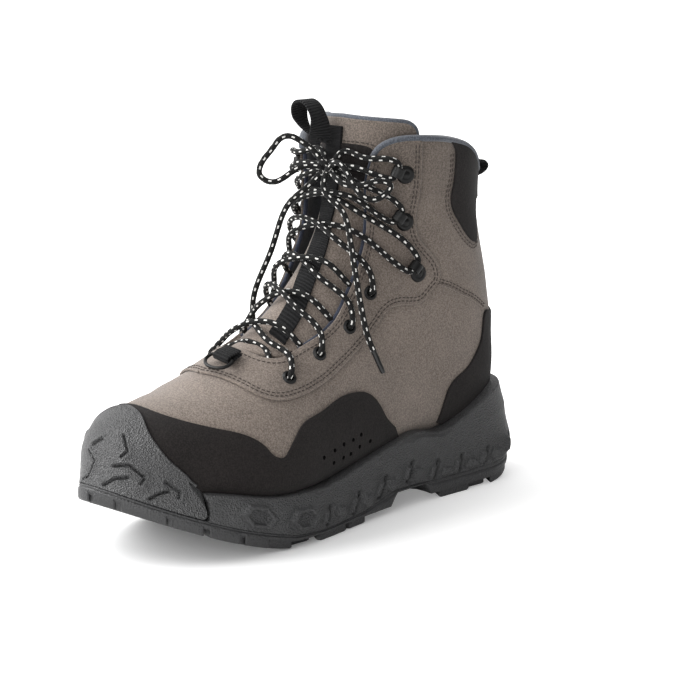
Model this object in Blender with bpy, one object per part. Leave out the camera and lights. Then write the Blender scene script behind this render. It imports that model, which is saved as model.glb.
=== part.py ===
# Left wading boot: a rubber lug sole, a hollow lined upper and its overlays, tongue,
# hardware and laces. Metres, floor at Z = 0, toe towards -Y, lateral side towards +X.
# "along" is measured from the back of the heel towards the toe.
import math

import bmesh
import bpy
import numpy as np
from mathutils import Matrix, Vector
from mathutils.geometry import delaunay_2d_cdt

# Driving dimensions of the boot
LENGTH = 0.304
BALL_WIDTH = 0.108
HEEL_WIDTH = 0.077
COLLAR_WIDTH = 0.086
UNDERFOOT = 0.022
INSTEP_HEIGHT = 0.144
SHAFT_RISE = 0.075
TOE_SPRING = 0.032
HEEL_BEVEL = 0.007
HEEL_TO_ORIGIN = 0.046

# Walls, clearances and layers
WALL = 0.0022
GAP = 0.0003
OVERLAY = 0.0012
CAP_WALL = 0.003
CAP_SKIRT = 0.020
CAP_SEAT = 0.005
CAP_CORE = 0.0170
TONGUE_THICKNESS = 0.006
INSOLE_THICKNESS = 0.004
MEDIAL_GAPE = 0.008
RIM_REST = 0.0020

# Sole
EDGE_HEIGHT = 0.012
HEEL_RIM = 0.060
HEEL_LEAN = 0.007
LEDGE = 0.012
TREAD_RIM = 0.006
ARCH_RISE = 0.011
LUG_DEPTH = 0.004
LUG_ACROSS = 0.022
LUG_SPACE = 0.004
SLIT_WIDTH = 0.0016
SLIT_HEIGHT = 0.009
SLIT_DEPTH = 0.0012

# Hardware, webbing and lace
EYELET_WIDTH = 0.0084
EYELET_BORE = 0.0040
EYELET_FLANGE = 0.0010
HOOK_BASE = 0.0090
HOOK_WIDTH = 0.0055
HOOK_REACH = 0.0095
HOOK_CURL = 0.0026
HOOK_METAL = 0.0012
STRIP_WIDTH = 0.013
WEBBING = 0.0014
RING_WIDTH = 0.019
RING_LENGTH = 0.012
RING_WIRE = 0.0020
LACE_WIDTH = 0.0034

# Sections of the upper from the toe tip (0) to above the collar (17). Each is a closed curve in a
# plane that stands upright across the toes and lies nearly level at the collar.
# Columns: the width it follows; its lowest or rearmost point and its highest or foremost one, along
# as a share of LENGTH, height -1 at the floor, 0 at UNDERFOOT, 1 at INSTEP_HEIGHT, 2 at the front of
# the collar;
# lateral and medial half widths as shares of the width; how far up it is broadest; how square its
# lower and upper halves are; the sideways sway of its low and high points as shares of BALL_WIDTH.
SECTIONS = [
    (BALL_WIDTH, .970, -.033, .970, -.033, .000, .000, .42, 2.3, 2.2, -.102, -.102),
    (BALL_WIDTH, .961, -.516, .961, .104, .148, .120, .42, 2.4, 2.2, -.093, -.093),
    (BALL_WIDTH, .938, -.643, .934, .216, .241, .213, .40, 2.6, 2.2, -.083, -.083),
    (BALL_WIDTH, .891, -.555, .895, .307, .333, .287, .38, 2.8, 2.2, -.065, -.074),
    (BALL_WIDTH, .826, -.355, .832, .406, .407, .370, .35, 3.0, 2.1, -.037, -.056),
    (BALL_WIDTH, .750, -.139, .763, .507, .454, .426, .32, 3.2, 2.0, -.009, -.046),
    (BALL_WIDTH, .661, .000, .694, .606, .463, .426, .30, 3.2, 1.95, .009, -.037),
    (BALL_WIDTH, .546, .016, .618, .713, .417, .380, .30, 3.0, 1.95, .009, -.028),
    (BALL_WIDTH, .405, .041, .546, .861, .361, .333, .30, 2.8, 2.0, .009, -.019),
    (HEEL_WIDTH, .253, .049, .497, 1.000, .468, .442, .32, 2.6, 2.1, .0, -.009),
    (HEEL_WIDTH, .115, .057, .467, 1.187, .455, .442, .36, 2.5, 2.2, .0, .0),
    (HEEL_WIDTH, .046, .197, .447, 1.347, .448, .448, .40, 2.4, 2.2, .0, .0),
    (HEEL_WIDTH, .036, .443, .434, 1.493, .461, .461, .42, 2.3, 2.2, .0, .0),
    (COLLAR_WIDTH, .046, .705, .428, 1.627, .430, .430, .44, 2.3, 2.2, .0, .0),
    (COLLAR_WIDTH, .059, .975, .424, 1.747, .453, .453, .46, 2.3, 2.2, .0, .0),
    (COLLAR_WIDTH, .062, 1.373, .421, 1.867, .477, .477, .47, 2.3, 2.2, .0, .0),
    (COLLAR_WIDTH, .053, 1.827, .418, 2.000, .500, .500, .48, 2.3, 2.2, .0, .0),
    (COLLAR_WIDTH, .049, 2.227, .418, 2.173, .512, .512, .48, 2.3, 2.2, .0, .0),
]

# Widest outline of the sole, once round from the back of the heel by the lateral side.
# Columns: the width it follows, sideways as a share of it, along as a share of LENGTH.
OUTLINE = [
    (HEEL_WIDTH, .000, .000), (HEEL_WIDTH, .286, .016), (HEEL_WIDTH, .487, .082),
    (HEEL_WIDTH, .526, .200), (HEEL_WIDTH, .540, .332), (BALL_WIDTH, .425, .464),
    (BALL_WIDTH, .491, .595), (BALL_WIDTH, .519, .700), (BALL_WIDTH, .468, .812),
    (BALL_WIDTH, .352, .900), (BALL_WIDTH, .148, .974), (BALL_WIDTH, -.083, 1.000),
    (BALL_WIDTH, -.259, .964), (BALL_WIDTH, -.398, .885), (BALL_WIDTH, -.486, .780),
    (BALL_WIDTH, -.481, .678), (BALL_WIDTH, -.412, .530), (HEEL_WIDTH, -.500, .382),
    (HEEL_WIDTH, -.494, .234), (HEEL_WIDTH, -.468, .095), (HEEL_WIDTH, -.273, .016),
]

# Heights and lean of the sole's side. Columns: along as a share of LENGTH; outsole edge and
# outsole bed above the tread line as shares of EDGE_HEIGHT; midsole rim above the floor as a share
# of HEEL_RIM; how far the rim leans in as a share of HEEL_LEAN.
SIDE = [
    (.000, .67, .67, 1.00, 1.00), (.043, .83, .83, .985, .72), (.095, .98, .98, .940, .43),
    (.135, 1.04, 1.0, .870, .29), (.190, 1.01, 1.0, .758, .21), (.263, 1.0, 1.0, .663, .21),
    (.286, 1.0, 1.0, .677, .21), (.312, 1.04, 1.0, .707, .20), (.365, 1.08, 1.04, .693, .20),
    (.418, 1.04, 1.0, .642, .21), (.447, .88, .85, .610, .23), (.474, .71, .68, .585, .25),
    (.536, .57, .55, .522, .29), (.589, .50, .50, .480, .36), (.655, .53, .50, .480, .43),
    (.707, .64, .52, .485, .47), (.760, .70, .50, .518, .43), (.810, .70, .50, .570, .37),
    (.875, .70, .50, .620, .36), (.930, .70, .50, .650, .71), (1.0, .75, .50, .740, .86),
]

# Where the tread starts to roll up at the toe and at the heel, and the raised arch between the
# heel breast and the forefoot lugs, as shares of LENGTH.
ROLL_START = .6875
BEVEL_END = .118
ARCH = [(.283, 0), (.312, 1), (.395, 1), (.424, 0)]

# The toe cap turns under the foot no further than this
CAP_UNDER = 128

# Outlines on the upper, as (turn, station): turn in degrees from the top or front line by the
# lateral side to the bottom or back line, station along the sections. Each is one half, and the
# medial half mirrors it.
COLLAR = [(32, 14.55), (35, 15.1), (42, 15.6), (51, 15.85), (62, 15.95), (75, 16.0), (88, 15.97),
          (97, 15.85), (109, 15.55), (130, 15.25), (155, 15.15), (180, 15.15)]
THROAT = [(0, 6.4), (12, 6.42), (24, 6.52), (32, 6.8), (36, 7.24), (40, 7.71), (42, 8.18), (40, 8.84),
          (38, 9.4), (36, 10.0), (35, 10.7), (32, 11.9), (29.5, 13.2), (32, 14.55)]
BOTTOM_OPENING = [(180, 1.6), (168, 2.0), (160, 2.8), (156, 3.8), (154, 5.5), (154, 8.0), (155, 9.2),
                  (162, 9.9), (180, 10.3)]
CAP_EDGE = [(0, 2.88), (20, 2.70), (40, 2.48), (62, 2.55), (79, 2.84), (90, 3.20), (102, 3.53),
            (125, 3.60)]
RAND_TOP = [(0, 3.16), (18, 3.20), (38, 3.58), (52, 4.21), (60, 4.72), (66, 5.02), (73, 5.24), (80, 5.42),
            (82, 5.62), (79, 5.80), (73, 6.09), (69, 6.40), (70, 6.90), (71, 7.46), (74, 7.80),
            (77, 8.00), (84, 8.18), (92, 8.24), (104, 8.36)]
EYESTAY_EDGE = [(0, 5.26), (14, 5.38), (30, 5.56), (42, 5.78), (50, 6.12), (56, 6.70), (59, 7.22),
                (60, 7.80), (60, 8.40), (59, 9.04), (58.5, 9.55), (61, 9.96), (69, 10.54), (72, 10.88),
                (75, 11.33), (78, 11.90), (76, 12.13), (71, 12.22), (65, 12.36), (62.5, 12.7),
                (64, 13.55), (65, 14.72), (63, 15.9)]
COUNTER_EDGE = [(180, 12.9), (155, 12.75), (135, 12.5), (117, 12.16), (113, 11.6), (109, 11.19),
                (101, 10.50), (98, 9.96), (101, 9.72), (110, 9.44), (122, 9.25)]
CUFF_FRONT = [(83, 15.94), (87, 15.75), (88.5, 15.35), (88.5, 14.8), (88, 13.98), (92, 13.75), (98, 13.60),
              (106, 13.57), (111, 13.66), (115, 13.95), (119, 14.5), (128, 14.80), (150, 14.86),
              (180, 14.86)]
TONGUE_EDGE = [(0, 6.5), (14, 6.55), (26, 6.75), (44, 7.6), (50, 8.6), (52, 10.5), (54, 12.5),
               (58, 14.5), (63, 15.9), (62, 16.4), (58, 16.72), (50, 16.88), (30, 17.02), (0, 17.15)]
INSOLE_EDGE = [(180, 1.7), (164, 2.1), (153, 3.0), (149, 4.2), (147, 5.6), (147, 8.0), (149, 9.2),
               (156, 9.9), (180, 10.4)]
STRIP_LINE = [(19, 7.1), (18, 7.3), (15, 7.9), (10, 8.43), (4, 9.53), (-1, 11.0), (-4, 12.7),
              (-4, 14.6), (-4, 16.6)]

# Eyelets and hooks of the lateral side, as (turn, station); the medial side mirrors them
EYELETS = [(44, 6.63), (47, 7.51), (50, 8.45), (48, 9.51)]
HOOKS = [(66, 11.31), (56, 12.54), (55, 14.34)]

# Free lace beyond the knot, and the webbing loops. A lace's points are (x, y, z) in metres.
KNOT = (0.0040, -0.0921, 0.1965)
KNOT_SIZE = (0.0052, 0.0040, 0.0050)
MEDIAL_LOOP = [(-.0030, -.0965, .2060), (-.0080, -.1008, .2108), (-.0125, -.1049, .2136), (-.0152, -.1077, .2131),
               (-.0186, -.1131, .2065), (-.0217, -.1187, .1982), (-.0215, -.1201, .1927), (-.0159, -.1158, .1883),
               (-.0111, -.1102, .1911), (-.0060, -.1022, .1965)]
LATERAL_LOOP = [(.0150, -.0940, .2000), (.0230, -.0915, .1900), (.0285, -.0890, .1825),
                (.0325, -.0845, .1800), (.0368, -.0790, .1828), (.0390, -.0768, .1880), (.0362, -.0802, .1905),
                (.0290, -.0870, .1885), (.0190, -.0935, .1885)]
MEDIAL_END = [(-.0050, -.0995, .1848), (-.0165, -.1020, .1750), (-.0270, -.1060, .1480),
              (-.0370, -.1110, .1200), (-.0430, -.1060, .1000)]
LATERAL_END = [(.0070, -.0975, .1850), (.0190, -.0955, .1740), (.0250, -.0950, .1600),
               (.0300, -.0955, .1400), (.0360, -.0965, .1200), (.0420, -.0960, .1020), (.0450, -.0910, .0960)]
AGLET_LENGTH = 0.014
TONGUE_LOOP_HEIGHT = 0.028
TONGUE_LOOP_WIDTH = 0.018
LOOP_WEBBING = 0.012
HEEL_LOOP_HEIGHT = 0.022
HEEL_LOOP_REACH = 0.007

# Slits in the midsole's side: along as a share of LENGTH
SLITS = [.545, .487, .420, .335, .262, .200, .135]

# Lattice of the upper: every facet of the upper and of what lies on it is a piece of this lattice,
# so that layers stay parallel.
STATIONS = [0, .5, 1.2, 2.1, 3.1, 4.4, 5.8, 7.2, 8.6, 9.7, 10.5, 11.3, 12.1, 13, 14.3, 15.6, 17.3]
TURN_STEP = 15


def natural_curve(places, values):
    # Natural cubic spline through rows of values at given places
    places = np.asarray(places, float)
    values = np.asarray(values, float)
    step = np.diff(places)
    count = len(places)
    system = np.eye(count)
    bends = np.zeros_like(values)
    for i in range(1, count - 1):
        system[i, i - 1:i + 2] = (step[i - 1], 2 * (step[i - 1] + step[i]), step[i])
        slope_after = (values[i + 1] - values[i]) / step[i]
        slope_before = (values[i] - values[i - 1]) / step[i - 1]
        bends[i] = 6 * (slope_after - slope_before)
    bends = np.linalg.solve(system, bends)

    def curve(at):
        at = np.atleast_1d(np.asarray(at, float))
        k = np.clip(np.searchsorted(places, at) - 1, 0, count - 2)
        width = step[k][:, None]
        before = (places[k + 1] - at)[:, None] / width
        after = (at - places[k])[:, None] / width
        sag = ((before ** 3 - before) * bends[k] + (after ** 3 - after) * bends[k + 1]) * width ** 2 / 6
        return before * values[k] + after * values[k + 1] + sag

    return curve


def spring(along):
    toe = np.clip((np.asarray(along) / LENGTH - ROLL_START) / (1 - ROLL_START), 0, None)
    return TOE_SPRING * toe ** 1.45


def tread(along):
    heel = np.clip(1 - np.asarray(along) / (BEVEL_END * LENGTH), 0, None)
    return spring(along) + HEEL_BEVEL * heel ** 1.5


def plate_under(along):
    # Underside of the outsole between the lugs
    share, rise = zip(*ARCH)
    arch = ARCH_RISE * np.interp(np.asarray(along) / LENGTH, share, rise)
    return np.maximum(tread(along) + LUG_DEPTH, arch)


side_curve = natural_curve([row[0] for row in SIDE], [row[1:] for row in SIDE])


def side_value(along, column):
    return side_curve(np.clip(np.asarray(along) / LENGTH, 0, 1))[:, column]


def seam(along):
    return tread(along) + EDGE_HEIGHT * side_value(along, 0)


def bed(along):
    return tread(along) + EDGE_HEIGHT * side_value(along, 1)


def rim(along):
    return HEEL_RIM * side_value(along, 2)


def lean(along):
    return HEEL_LEAN * side_value(along, 3)


def section_knots():
    knots = []
    for width, low_along, low, top_along, top, lateral, medial, broad, low_n, top_n, low_x, top_x in SECTIONS:
        ends = []
        for share, height in ((low_along, low), (top_along, top)):
            foot = UNDERFOOT * (1 + min(height, 0)) + min(max(height, 0), 1) * (INSTEP_HEIGHT - UNDERFOOT)
            ends += [share * LENGTH, spring(share * LENGTH) + foot + max(height - 1, 0) * SHAFT_RISE]
        knots.append(ends + [lateral * width, medial * width, broad, low_n, top_n,
                             low_x * BALL_WIDTH, top_x * BALL_WIDTH])
    # Two mirrored sections beyond the toe tip make the surface close smoothly there
    beyond = [row[2:4] + row[0:2] + [-row[4], -row[5]] + row[6:] for row in (knots[2], knots[1])]
    return np.array(beyond + knots)


knots_of_sections = section_knots()
section_curve = natural_curve(np.arange(-2, len(SECTIONS)), knots_of_sections)


def skin(turn, station):
    # Points of the upper's outer surface; turn in degrees
    row = section_curve(station).T
    low_along, low_z, top_along, top_z, lateral, medial, broad, low_n, top_n, low_x, top_x = row
    angle = np.radians(turn)
    up = np.cos(angle)
    out = np.sin(angle)
    power = 2 / np.where(up >= 0, top_n, low_n)
    rise = np.abs(up) ** power
    level = np.where(up >= 0, broad + (1 - broad) * rise, broad - broad * rise)
    half = np.where(out >= 0, lateral, -medial) * np.abs(out) ** power
    x = low_x + (top_x - low_x) * level + half
    along = low_along + (top_along - low_along) * level
    z = low_z + (top_z - low_z) * level
    return np.stack([x, HEEL_TO_ORIGIN - along, z], axis=1)


def skin_normals(turn, station):
    small = 0.02
    near = np.maximum(station, small)
    across = skin(turn + 0.5, near) - skin(turn - 0.5, near)
    along = skin(turn, near + small) - skin(turn, near - small)
    normal = np.cross(across, along)
    normal /= np.linalg.norm(normal, axis=1)[:, None]
    tip = station < small
    normal[tip] = (0, -1, 0)
    return normal


def medial_gape(turn, station):
    # The medial flap stands away from the tongue
    turn = (turn + 180) % 360 - 180
    edge = np.clip((turn + 95) / 60, 0, 1) * (turn < 0)
    foot = np.clip((station - 6.8) / 3.2, 0, 1)
    return MEDIAL_GAPE * (edge * edge * (3 - 2 * edge)) * (foot * foot * (3 - 2 * foot))


def build_lattice(gaping):
    turns = np.arange(0, 360, TURN_STEP)
    points = np.zeros((len(STATIONS), len(turns), 3))
    normals = np.zeros_like(points)
    for i, station in enumerate(STATIONS):
        stations = np.full(len(turns), float(station))
        normals[i] = skin_normals(turns, stations)
        points[i] = skin(turns, stations)
        if gaping:
            points[i] += normals[i] * medial_gape(turns, stations)[:, None]
    return points, normals


closed_lattice = build_lattice(False)
open_lattice = build_lattice(True)


def cells(turn, station):
    # Chart coordinates: one unit is one cell of the lattice
    return turn / TURN_STEP, np.interp(station, STATIONS, np.arange(len(STATIONS)))


def on_lattice(lattice, chart, lift):
    # Points of a lattice at chart coordinates, lifted along its normals
    points, normals = lattice
    chart = np.atleast_2d(chart)
    j = np.floor(chart[:, 0] + 1e-9).astype(int)
    i = np.clip(np.floor(chart[:, 1] + 1e-9).astype(int), 0, len(STATIONS) - 2)
    right = (chart[:, 0] - j)[:, None]
    up = (chart[:, 1] - i)[:, None]
    lift = np.broadcast_to(np.asarray(lift, float), (len(chart),))[:, None]
    count = points.shape[1]
    corner = {}
    for di in (0, 1):
        for dj in (0, 1):
            place = (i + di, (j + dj) % count)
            corner[di, dj] = points[place] + normals[place] * lift
    upper_half = (1 - up) * corner[0, 0] + (up - right) * corner[1, 0] + right * corner[1, 1]
    lower_half = (1 - right) * corner[0, 0] + (right - up) * corner[0, 1] + up * corner[1, 1]
    return np.where(up >= right, upper_half, lower_half)


def place(turn, station, lift, lattice=open_lattice):
    chart = np.array([cells(turn, station)])
    return Vector(on_lattice(lattice, chart, lift)[0])


def smooth_line(points, spacing=1.0):
    # Chart points along a spline through (turn, station) points, about one cell apart
    chart = np.array([cells(turn, station) for turn, station in points])
    steps = np.linalg.norm(np.diff(chart, axis=0), axis=1)
    places = np.concatenate([[0], np.cumsum(steps)])
    count = max(2, int(math.ceil(places[-1] / spacing)) + 1)
    return natural_curve(places, chart)(np.linspace(0, places[-1], count))


def mirrored(chart):
    other = chart * np.array([-1.0, 1.0])
    return other[::-1]


def around_back(chart):
    # The medial half of a line, for charts that cross the back or bottom line
    turn_count = 360 / TURN_STEP
    other = chart.copy()
    other[:, 0] = turn_count - other[:, 0]
    return other[::-1]


def join_lines(*lines):
    loop = []
    for line in lines:
        for point in line:
            if not loop or np.linalg.norm(point - loop[-1]) > 0.02:
                loop.append(point)
    if np.linalg.norm(loop[0] - loop[-1]) < 0.02:
        loop.pop()
    return np.array(loop)


def is_inside(loop, points):
    inside = np.zeros(len(points), bool)
    start = loop
    end = np.roll(loop, -1, axis=0)
    for (x1, y1), (x2, y2) in zip(start, end):
        crosses = (y1 > points[:, 1]) != (y2 > points[:, 1])
        slope = (x2 - x1) / (y2 - y1) if y2 != y1 else 0.0
        inside ^= crosses & (points[:, 0] < x1 + slope * (points[:, 1] - y1))
    return inside


def cut_chart(loop):
    # Triangles of the lattice inside a closed chart outline, cut along it
    low = np.floor(loop.min(axis=0) + 1e-6).astype(int)
    high = np.ceil(loop.max(axis=0) - 1e-6).astype(int)
    columns = range(low[0], high[0] + 1)
    rows = range(max(low[1], 0), min(high[1], len(STATIONS) - 1) + 1)
    index = {}
    points = []
    for row in rows:
        for column in columns:
            index[column, row] = len(points)
            points.append((column, row))
    edges = []
    for column, row in index:
        for step in ((1, 0), (0, 1), (1, 1)):
            other = (column + step[0], row + step[1])
            if other in index:
                edges.append((index[column, row], index[other]))
    first = len(points)
    points += [tuple(point) for point in loop]
    count = len(loop)
    edges += [(first + k, first + (k + 1) % count) for k in range(count)]
    result = delaunay_2d_cdt([Vector(point) for point in points], edges, [], 0, 1e-3)
    knots = np.array([tuple(knot) for knot in result[0]])
    faces = np.array([face for face in result[2] if len(face) == 3])
    inside = is_inside(loop, knots[faces].mean(axis=1))
    return knots, faces[inside]


def finish(name, mesh_data, material, smooth_angle=40):
    mesh = bpy.data.meshes.new(name)
    if isinstance(mesh_data, bmesh.types.BMesh):
        mesh_data.to_mesh(mesh)
        mesh_data.free()
    else:
        mesh.from_pydata([tuple(p) for p in mesh_data[0]], [], mesh_data[1])
    work = bmesh.new()
    work.from_mesh(mesh)
    bmesh.ops.recalc_face_normals(work, faces=work.faces)
    work.to_mesh(mesh)
    work.free()
    mesh.shade_smooth()
    mesh.set_sharp_from_angle(angle=math.radians(smooth_angle))
    mesh.materials.append(material)
    piece = bpy.data.objects.new(name, mesh)
    bpy.context.collection.objects.link(piece)
    return piece


def slab(low_points, high_points, faces):
    # A closed body between two sheets that share their triangles. Sheet points that coincide, as
    # at the toe tip and along the back line, are welded first.
    keys = {}
    weld = np.zeros(len(low_points), int)
    for k, point in enumerate(low_points):
        key = tuple(np.round(point, 7))
        weld[k] = keys.setdefault(key, k)
    faces = [tuple(weld[list(face)]) for face in faces]
    faces = [face for face in faces if len(set(face)) == 3]
    used = sorted({k for face in faces for k in face})
    number = {k: n for n, k in enumerate(used)}
    faces = [tuple(number[k] for k in face) for face in faces]
    count = len(used)
    points = [high_points[k] for k in used] + [low_points[k] for k in used]
    sides = {(face[k], face[(k + 1) % 3]) for face in faces for k in range(3)}
    body = list(faces)
    body += [tuple(k + count for k in reversed(face)) for face in faces]
    body += [(b, a, a + count, b + count) for a, b in sides if (b, a) not in sides]
    return points, body


def layer(name, material, lattice, loop, low, high):
    knots, faces = cut_chart(loop)
    body = slab(on_lattice(lattice, knots, low), on_lattice(lattice, knots, high), faces)
    return finish(name, body, material)


def as_cutter(piece):
    piece.hide_render = True
    piece.display_type = "WIRE"
    return piece


def combine(piece, other, operation, solver="EXACT"):
    modifier = piece.modifiers.new(operation.lower(), "BOOLEAN")
    modifier.operation = operation
    modifier.solver = solver
    modifier.object = as_cutter(other)


def material(name, colour, roughness, metallic=0.0):
    made = bpy.data.materials.new(name)
    made.use_nodes = True
    shader = made.node_tree.nodes["Principled BSDF"]
    shader.inputs["Base Color"].default_value = (*colour, 1)
    shader.inputs["Roughness"].default_value = roughness
    shader.inputs["Metallic"].default_value = metallic
    return made


def outline_loop(count):
    # The sole's widest outline as (x, along), evenly spaced
    points = np.array([(share * width, along * LENGTH) for width, share, along in OUTLINE])
    tail = 4
    wrapped = np.vstack([points[-tail:], points, points[:tail + 1]])
    curve = natural_curve(np.arange(-tail, len(points) + tail + 1), wrapped)
    fine = curve(np.linspace(0, len(points), 1500))
    places = np.concatenate([[0], np.cumsum(np.linalg.norm(np.diff(fine, axis=0), axis=1))])
    even = np.linspace(0, places[-1], count, endpoint=False)
    return np.stack([np.interp(even, places, fine[:, k]) for k in (0, 1)], axis=1)


def outward(loop):
    direction = np.roll(loop, -1, axis=0) - np.roll(loop, 1, axis=0)
    normal = np.stack([direction[:, 1], -direction[:, 0]], axis=1)
    normal /= np.linalg.norm(normal, axis=1)[:, None]
    return normal


RING_POINTS = 64
sole_loop = outline_loop(RING_POINTS)
sole_out = outward(sole_loop)


def ring(inset, height):
    # A ring of the sole: the outline moved in, with each point at the height there
    flat = sole_loop - sole_out * np.broadcast_to(inset, (RING_POINTS,))[:, None]
    return np.column_stack([flat[:, 0], HEEL_TO_ORIGIN - flat[:, 1], height(flat[:, 1])])


def stack(name, rings, low_height, high_height, material_used):
    # A closed body of rings from bottom to top, its two ends following height functions
    points = [tuple(p) for one in rings for p in one]
    faces = []
    for k in range(len(rings) - 1):
        for a in range(RING_POINTS):
            b = (a + 1) % RING_POINTS
            base = k * RING_POINTS
            faces.append((base + a, base + b, base + RING_POINTS + b, base + RING_POINTS + a))
    for one, start, height in ((rings[0], 0, low_height), (rings[-1], (len(rings) - 1) * RING_POINTS, high_height)):
        loop = one[:, :2]
        grid = cap_grid(loop)
        edges = [(k, (k + 1) % RING_POINTS) for k in range(RING_POINTS)]
        flat = [Vector(p) for p in loop] + [Vector(p) for p in grid]
        knots, _, triangles, origins, _, _ = delaunay_2d_cdt(flat, edges, [], 1, 1e-7)
        number = {}
        for k, knot in enumerate(knots):
            source = origins[k][0] if origins[k] else -1
            if 0 <= source < RING_POINTS:
                number[k] = start + source
            else:
                number[k] = len(points)
                points.append((knot.x, knot.y, float(height(HEEL_TO_ORIGIN - knot.y)[0])))
        faces += [tuple(number[k] for k in face) for face in triangles]
    return finish(name, (points, faces), material_used)


def cap_grid(loop):
    # Inner points of a sole ring, in rows across, kept clear of its edge
    spacing = 0.015
    low = loop.min(axis=0)
    high = loop.max(axis=0)
    grid = []
    for y in np.arange(low[1] + spacing, high[1] - spacing / 2, spacing):
        for x in np.arange(low[0] + spacing, high[0] - spacing / 2, 2 * spacing):
            grid.append((x, y))
    grid = np.array(grid)
    far = np.array([np.min(np.linalg.norm(loop - point, axis=1)) > spacing * 0.5 for point in grid])
    return grid[is_inside(loop, grid) & far]


def clear_of(height, gap):
    return lambda along: height(np.atleast_1d(along)) + gap


def make_outsole(rubber):
    rings = [
        ring(0.0020, plate_under),
        ring(0.0, lambda along: plate_under(along) * 0.4 + seam(along) * 0.6),
        ring(0.0004, seam),
        ring(TREAD_RIM, seam),
        ring(TREAD_RIM + 0.0015, lambda along: np.minimum(bed(along), seam(along))),
    ]
    outsole = stack("outsole", rings, clear_of(plate_under, 0), clear_of(bed, 0), rubber)
    lugs = make_lugs(rubber)
    trim = [ring(0.0012, lambda along: along * 0 - 0.01), ring(0.0012, lambda along: along * 0 + 0.08)]
    prism = stack("lug_trim", trim, lambda along: [-0.01], lambda along: [0.08], rubber)
    combine(lugs, prism, "INTERSECT", "MANIFOLD")
    combine(outsole, lugs, "UNION", "MANIFOLD")
    return outsole


def make_lugs(rubber):
    # Hexagonal lugs on a triangular lattice with one lug centred on the origin
    pitch = LUG_ACROSS + LUG_SPACE
    radius = LUG_ACROSS / math.sqrt(3)
    points = []
    faces = []
    row_count = int(LENGTH / (pitch * 0.866)) + 2
    arch_start = ARCH[0][0] * LENGTH
    arch_end = ARCH[-1][0] * LENGTH
    for row in range(-4, row_count):
        along = HEEL_TO_ORIGIN + row * pitch * math.sqrt(3) / 2
        if arch_start < along < arch_end or not -radius < along < LENGTH + radius:
            continue
        for column in range(-4, 5):
            x = (column + (row % 2) / 2) * pitch
            near = np.linalg.norm(sole_loop - (x, along), axis=1)
            if not is_inside(sole_loop, np.array([(x, along)]))[0] and near.min() > 0.003:
                continue
            corner = []
            for k in range(6):
                angle = math.radians(30 + 60 * k)
                corner.append((x + radius * math.cos(angle), along + radius * math.sin(angle)))
            corner = np.array(corner)
            base = len(points)
            root = np.minimum(plate_under(corner[:, 1]) + 0.0008, seam(corner[:, 1]) - 0.0006)
            points += [(p[0], HEEL_TO_ORIGIN - p[1], z) for p, z in zip(corner, tread(corner[:, 1]))]
            points += [(p[0], HEEL_TO_ORIGIN - p[1], z) for p, z in zip(corner, root)]
            faces += [tuple(range(base, base + 6)), tuple(range(base + 6, base + 12))]
            for k in range(6):
                a = base + k
                b = base + (k + 1) % 6
                faces.append((a, b, b + 6, a + 6))
    return finish("lugs", (points, faces), rubber)


def skin_solid(lift, last_station):
    # The upper's outer form, closed: the shape that its neighbours are cut to
    columns = int(360 / TURN_STEP)
    last_row = STATIONS.index(last_station)
    chart = np.array([(column, row) for row in range(1, last_row + 1) for column in range(columns)], float)
    points = [tuple(p) for p in on_lattice(closed_lattice, chart, lift)]
    tip = len(points)
    points.append(tuple(on_lattice(closed_lattice, np.array([[0.0, 0.0]]), lift)[0]))
    faces = []
    for row in range(last_row - 1):
        for column in range(columns):
            after = (column + 1) % columns
            a = row * columns + column
            b = row * columns + after
            faces += [(a, a + columns, b + columns), (a, b + columns, b)]
    faces += [(tip, column, (column + 1) % columns) for column in range(columns)]
    faces.append(tuple(range((last_row - 1) * columns, last_row * columns)))
    return points, faces


def make_midsole(rubber, cap):
    tilt = lean(sole_loop[:, 1])
    draft = np.maximum(tilt - 0.004, 0)

    def side(share):
        return lambda along: (seam(along) + GAP) * (1 - share) + rim(along) * share

    rings = [
        ring(TREAD_RIM + 0.002, lambda along: np.minimum(bed(along), seam(along)) + GAP),
        ring(TREAD_RIM + 0.0005, side(0)),
        ring(0.0006 + draft, side(0)),
        ring(draft, side(0.3)),
        ring(tilt * 0.35, side(0.7)),
        ring(tilt, rim),
        ring(tilt + LEDGE, rim),
    ]
    midsole = stack("midsole", rings, clear_of(bed, GAP), clear_of(rim, 0), rubber)
    combine(midsole, finish("skin_cut", skin_solid(GAP, 13), rubber), "DIFFERENCE", "MANIFOLD")
    combine(midsole, make_toe_clearance(cap, rubber), "DIFFERENCE", "MANIFOLD")
    combine(midsole, make_slits(rubber), "DIFFERENCE", "MANIFOLD")
    return midsole


def side_frame(along, height_share, side):
    # A place on the midsole's side wall: point, outward and along directions
    lateral = sole_loop[:, 0] * side > 0
    near = np.where(lateral, np.abs(sole_loop[:, 1] - along), 1).argmin()
    out = Vector((sole_out[near, 0], -sole_out[near, 1], 0))
    low = float(seam(along)[0])
    high = float(rim(along)[0])
    point = Vector((sole_loop[near, 0], HEEL_TO_ORIGIN - sole_loop[near, 1], low + (high - low) * height_share))
    return point, out, Vector((-out.y, out.x, 0)) * side


def make_slits(rubber):
    # Slanted slits along both sides of the midsole
    points = []
    faces = []
    for share in SLITS:
        for side in (1, -1):
            point, out, forward = side_frame(share * LENGTH, 0.42, side)
            rise = Vector((0, 0, 1)) - forward * 0.35 * side
            base = len(points)
            for depth in (-SLIT_DEPTH, 0.004):
                for a, b in ((-1, -1), (1, -1), (1, 1), (-1, 1)):
                    points.append(point + out * depth + forward * (a * SLIT_WIDTH / 2) + rise * (b * SLIT_HEIGHT / 2))
            quad = [(0, 1, 2, 3), (7, 6, 5, 4), (0, 4, 5, 1), (1, 5, 6, 2), (2, 6, 7, 3), (3, 7, 4, 0)]
            faces += [tuple(base + k for k in face) for face in quad]
    return finish("slits", (points, faces), rubber)


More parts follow.
